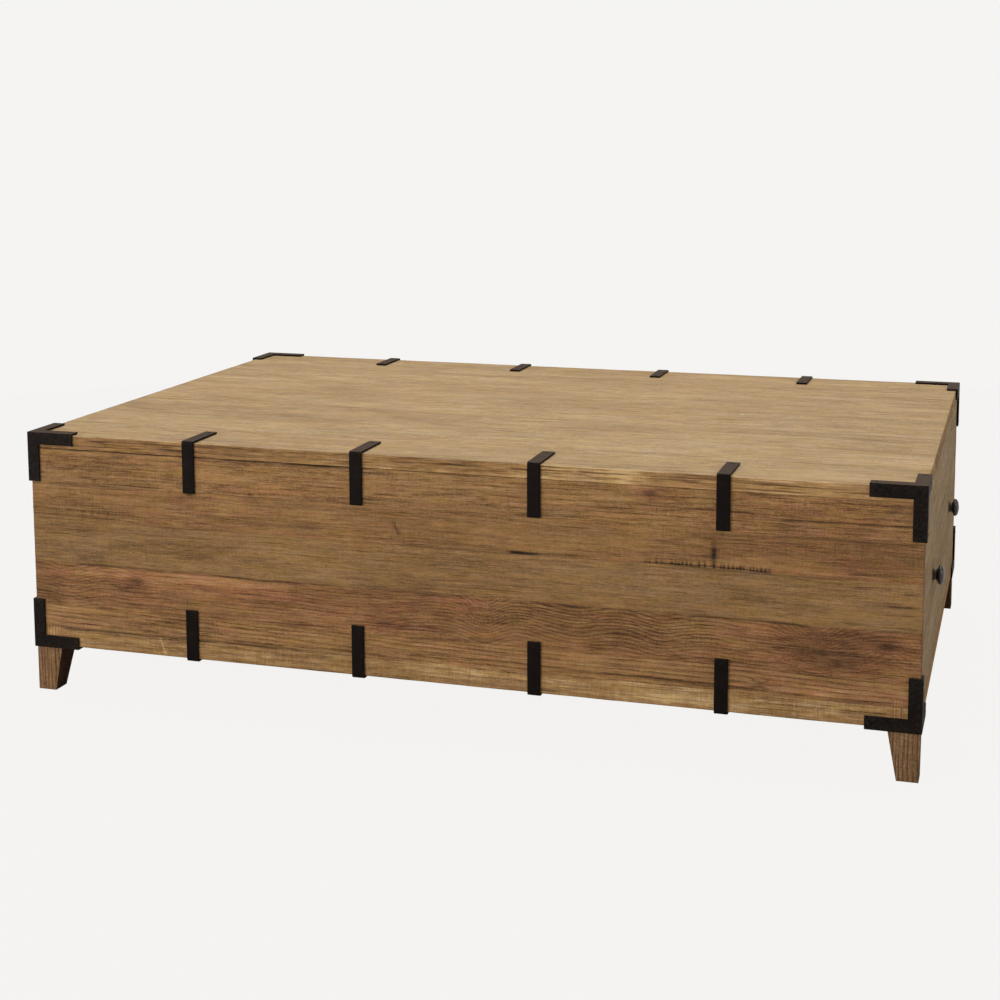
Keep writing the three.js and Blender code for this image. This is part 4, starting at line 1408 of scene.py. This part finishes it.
for name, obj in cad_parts.items():
    if obj.hide_render:
        continue
    if name.startswith("foot"):
        keep(obj, wood_foot, 0.0011)
    elif name == "bottom_panel":
        keep(obj, wood_bottom, 0.0012)
    elif "screw" in name:
        paint(obj, screw_zinc)
    elif name == "centre_divider" or name.startswith("drawer_stop") or name.endswith("_rear"):
        keep(obj, pine_y, 0.0006)
    else:
        keep(obj, pine_x, 0.0006)

# ------------------------------------------------------------------ floor
PALE = srgb(245, 244, 242)
WARM_WHITE = (1.0, 0.985, 0.96)
FLOOR_RADII = [0, 0.5, 1.0, 1.5, 2, 2.5, 3, 4, 5, 7, 10, 16, 26, 40]
FLOOR_SIDES = 96


def floor_paper():
    """Takes soft shadows near the chest and glows evenly further out."""
    mat = Nodes(bpy.data.materials.new("floor_paper"))
    distance = mat.add("ShaderNodeVectorMath", {0: mat.coordinates()}, operation="LENGTH")
    far = mat.span(distance.outputs["Value"], 1.2, 3.2)
    far.node.interpolation_type = "SMOOTHSTEP"
    diffuse = mat.add("ShaderNodeBsdfDiffuse", {"Color": (0.48, 0.475, 0.47, 1)})
    glow = mat.add("ShaderNodeEmission", {"Color": (*PALE, 1), "Strength": 1.0})
    direct = mat.add("ShaderNodeLightPath").outputs["Is Camera Ray"]
    cover = mat.math("MAXIMUM", mat.times(direct, 0.975), far)
    blend = mat.add("ShaderNodeMixShader", {0: cover, 1: diffuse.outputs[0], 2: glow.outputs[0]})
    mat.add("ShaderNodeOutputMaterial", {0: blend.outputs[0]})
    return mat.owner


def floor():
    verts, faces = [], []
    n = FLOOR_SIDES
    for radius in FLOOR_RADII:
        for k in range(n):
            angle = 2 * math.pi * k / n
            verts.append((radius * math.cos(angle), radius * math.sin(angle), 0.0))
    for i in range(len(FLOOR_RADII) - 1):
        a, b = i * n, (i + 1) * n
        faces += [[a + k, a + (k + 1) % n, b + (k + 1) % n, b + k] for k in range(n)]
    mesh = bpy.data.meshes.new("floor")
    mesh.from_pydata(verts, [], faces)
    obj = bpy.data.objects.new("floor", mesh)
    SCENE.collection.objects.link(obj)
    bm = bmesh.new()
    bm.from_mesh(mesh)
    bmesh.ops.remove_doubles(bm, verts=bm.verts, dist=1e-6)
    bmesh.ops.recalc_face_normals(bm, faces=bm.faces)
    for face in bm.faces:
        if face.normal.z < 0:
            face.normal_flip()
    bm.to_mesh(mesh)
    bm.free()
    mesh.materials.append(floor_paper())


floor()


# ------------------------------------------------------------------ light
def studio_world():
    """The camera sees a pale ground; the light grows stronger towards the zenith."""
    SCENE.world = bpy.data.worlds.new("studio")
    tree = Nodes(SCENE.world)
    upward = tree.split(tree.coordinates("Generated"))[2]
    strength = tree.span(upward, -0.1, 0.9, 0.22, 0.8)
    lit = tree.add("ShaderNodeBackground", {0: (*WARM_WHITE, 1), 1: strength})
    seen = tree.add("ShaderNodeBackground", {0: (*PALE, 1)})
    direct = tree.add("ShaderNodeLightPath").outputs["Is Camera Ray"]
    mixer = tree.add("ShaderNodeMixShader", {0: direct, 1: lit.outputs[0], 2: seen.outputs[0]})
    tree.add("ShaderNodeOutputWorld", {0: mixer.outputs[0]})


def area(name, at, target, size, power, colour):
    light = bpy.data.lights.new(name, "AREA")
    light.shape = "RECTANGLE"
    light.size, light.size_y = size
    light.energy = power
    light.color = colour
    obj = bpy.data.objects.new(name, light)
    SCENE.collection.objects.link(obj)
    obj.location = at
    obj.rotation_euler = (Vector(target) - Vector(at)).to_track_quat("-Z", "Y").to_euler()


studio_world()
area("overhead", at=(-0.2, 0.5, 3.6), target=(0.0, 0.0, 0.3), size=(3.6, 3.0), power=112,
     colour=WARM_WHITE)
area("front_key", at=(-1.9, -3.8, 1.15), target=(-0.1, -0.4, 0.25), size=(2.4, 1.6), power=84,
     colour=(1.0, 0.98, 0.955))
area("right_fill", at=(3.6, -0.6, 1.8), target=(0.6, 0.0, 0.3), size=(1.6, 1.6), power=22,
     colour=(0.97, 0.99, 1.0))

# ------------------------------------------------------------------ camera
CAMERA_AT = (0.83665, -2.82552, 0.95069)
CAMERA_RIGHT = (0.95818077, 0.28615874, -0.00167154)
CAMERA_UP = (-0.03427967, 0.12057809, 0.99211180)
CAMERA_BACK = (0.28410301, -0.95056515, 0.12534504)

camera = bpy.data.cameras.new("camera")
camera_obj = bpy.data.objects.new("camera", camera)
SCENE.collection.objects.link(camera_obj)
camera.sensor_width = 36.0
camera.lens = 62.1539
camera.shift_x = -0.0250
camera.shift_y = -0.18259
camera.clip_end = 200
pose = Matrix((CAMERA_RIGHT, CAMERA_UP, CAMERA_BACK)).transposed().to_4x4()
pose.translation = CAMERA_AT
camera_obj.matrix_world = pose
SCENE.camera = camera_obj
SCENE.view_settings.view_transform = "Standard"
SCENE.view_settings.look = "None"
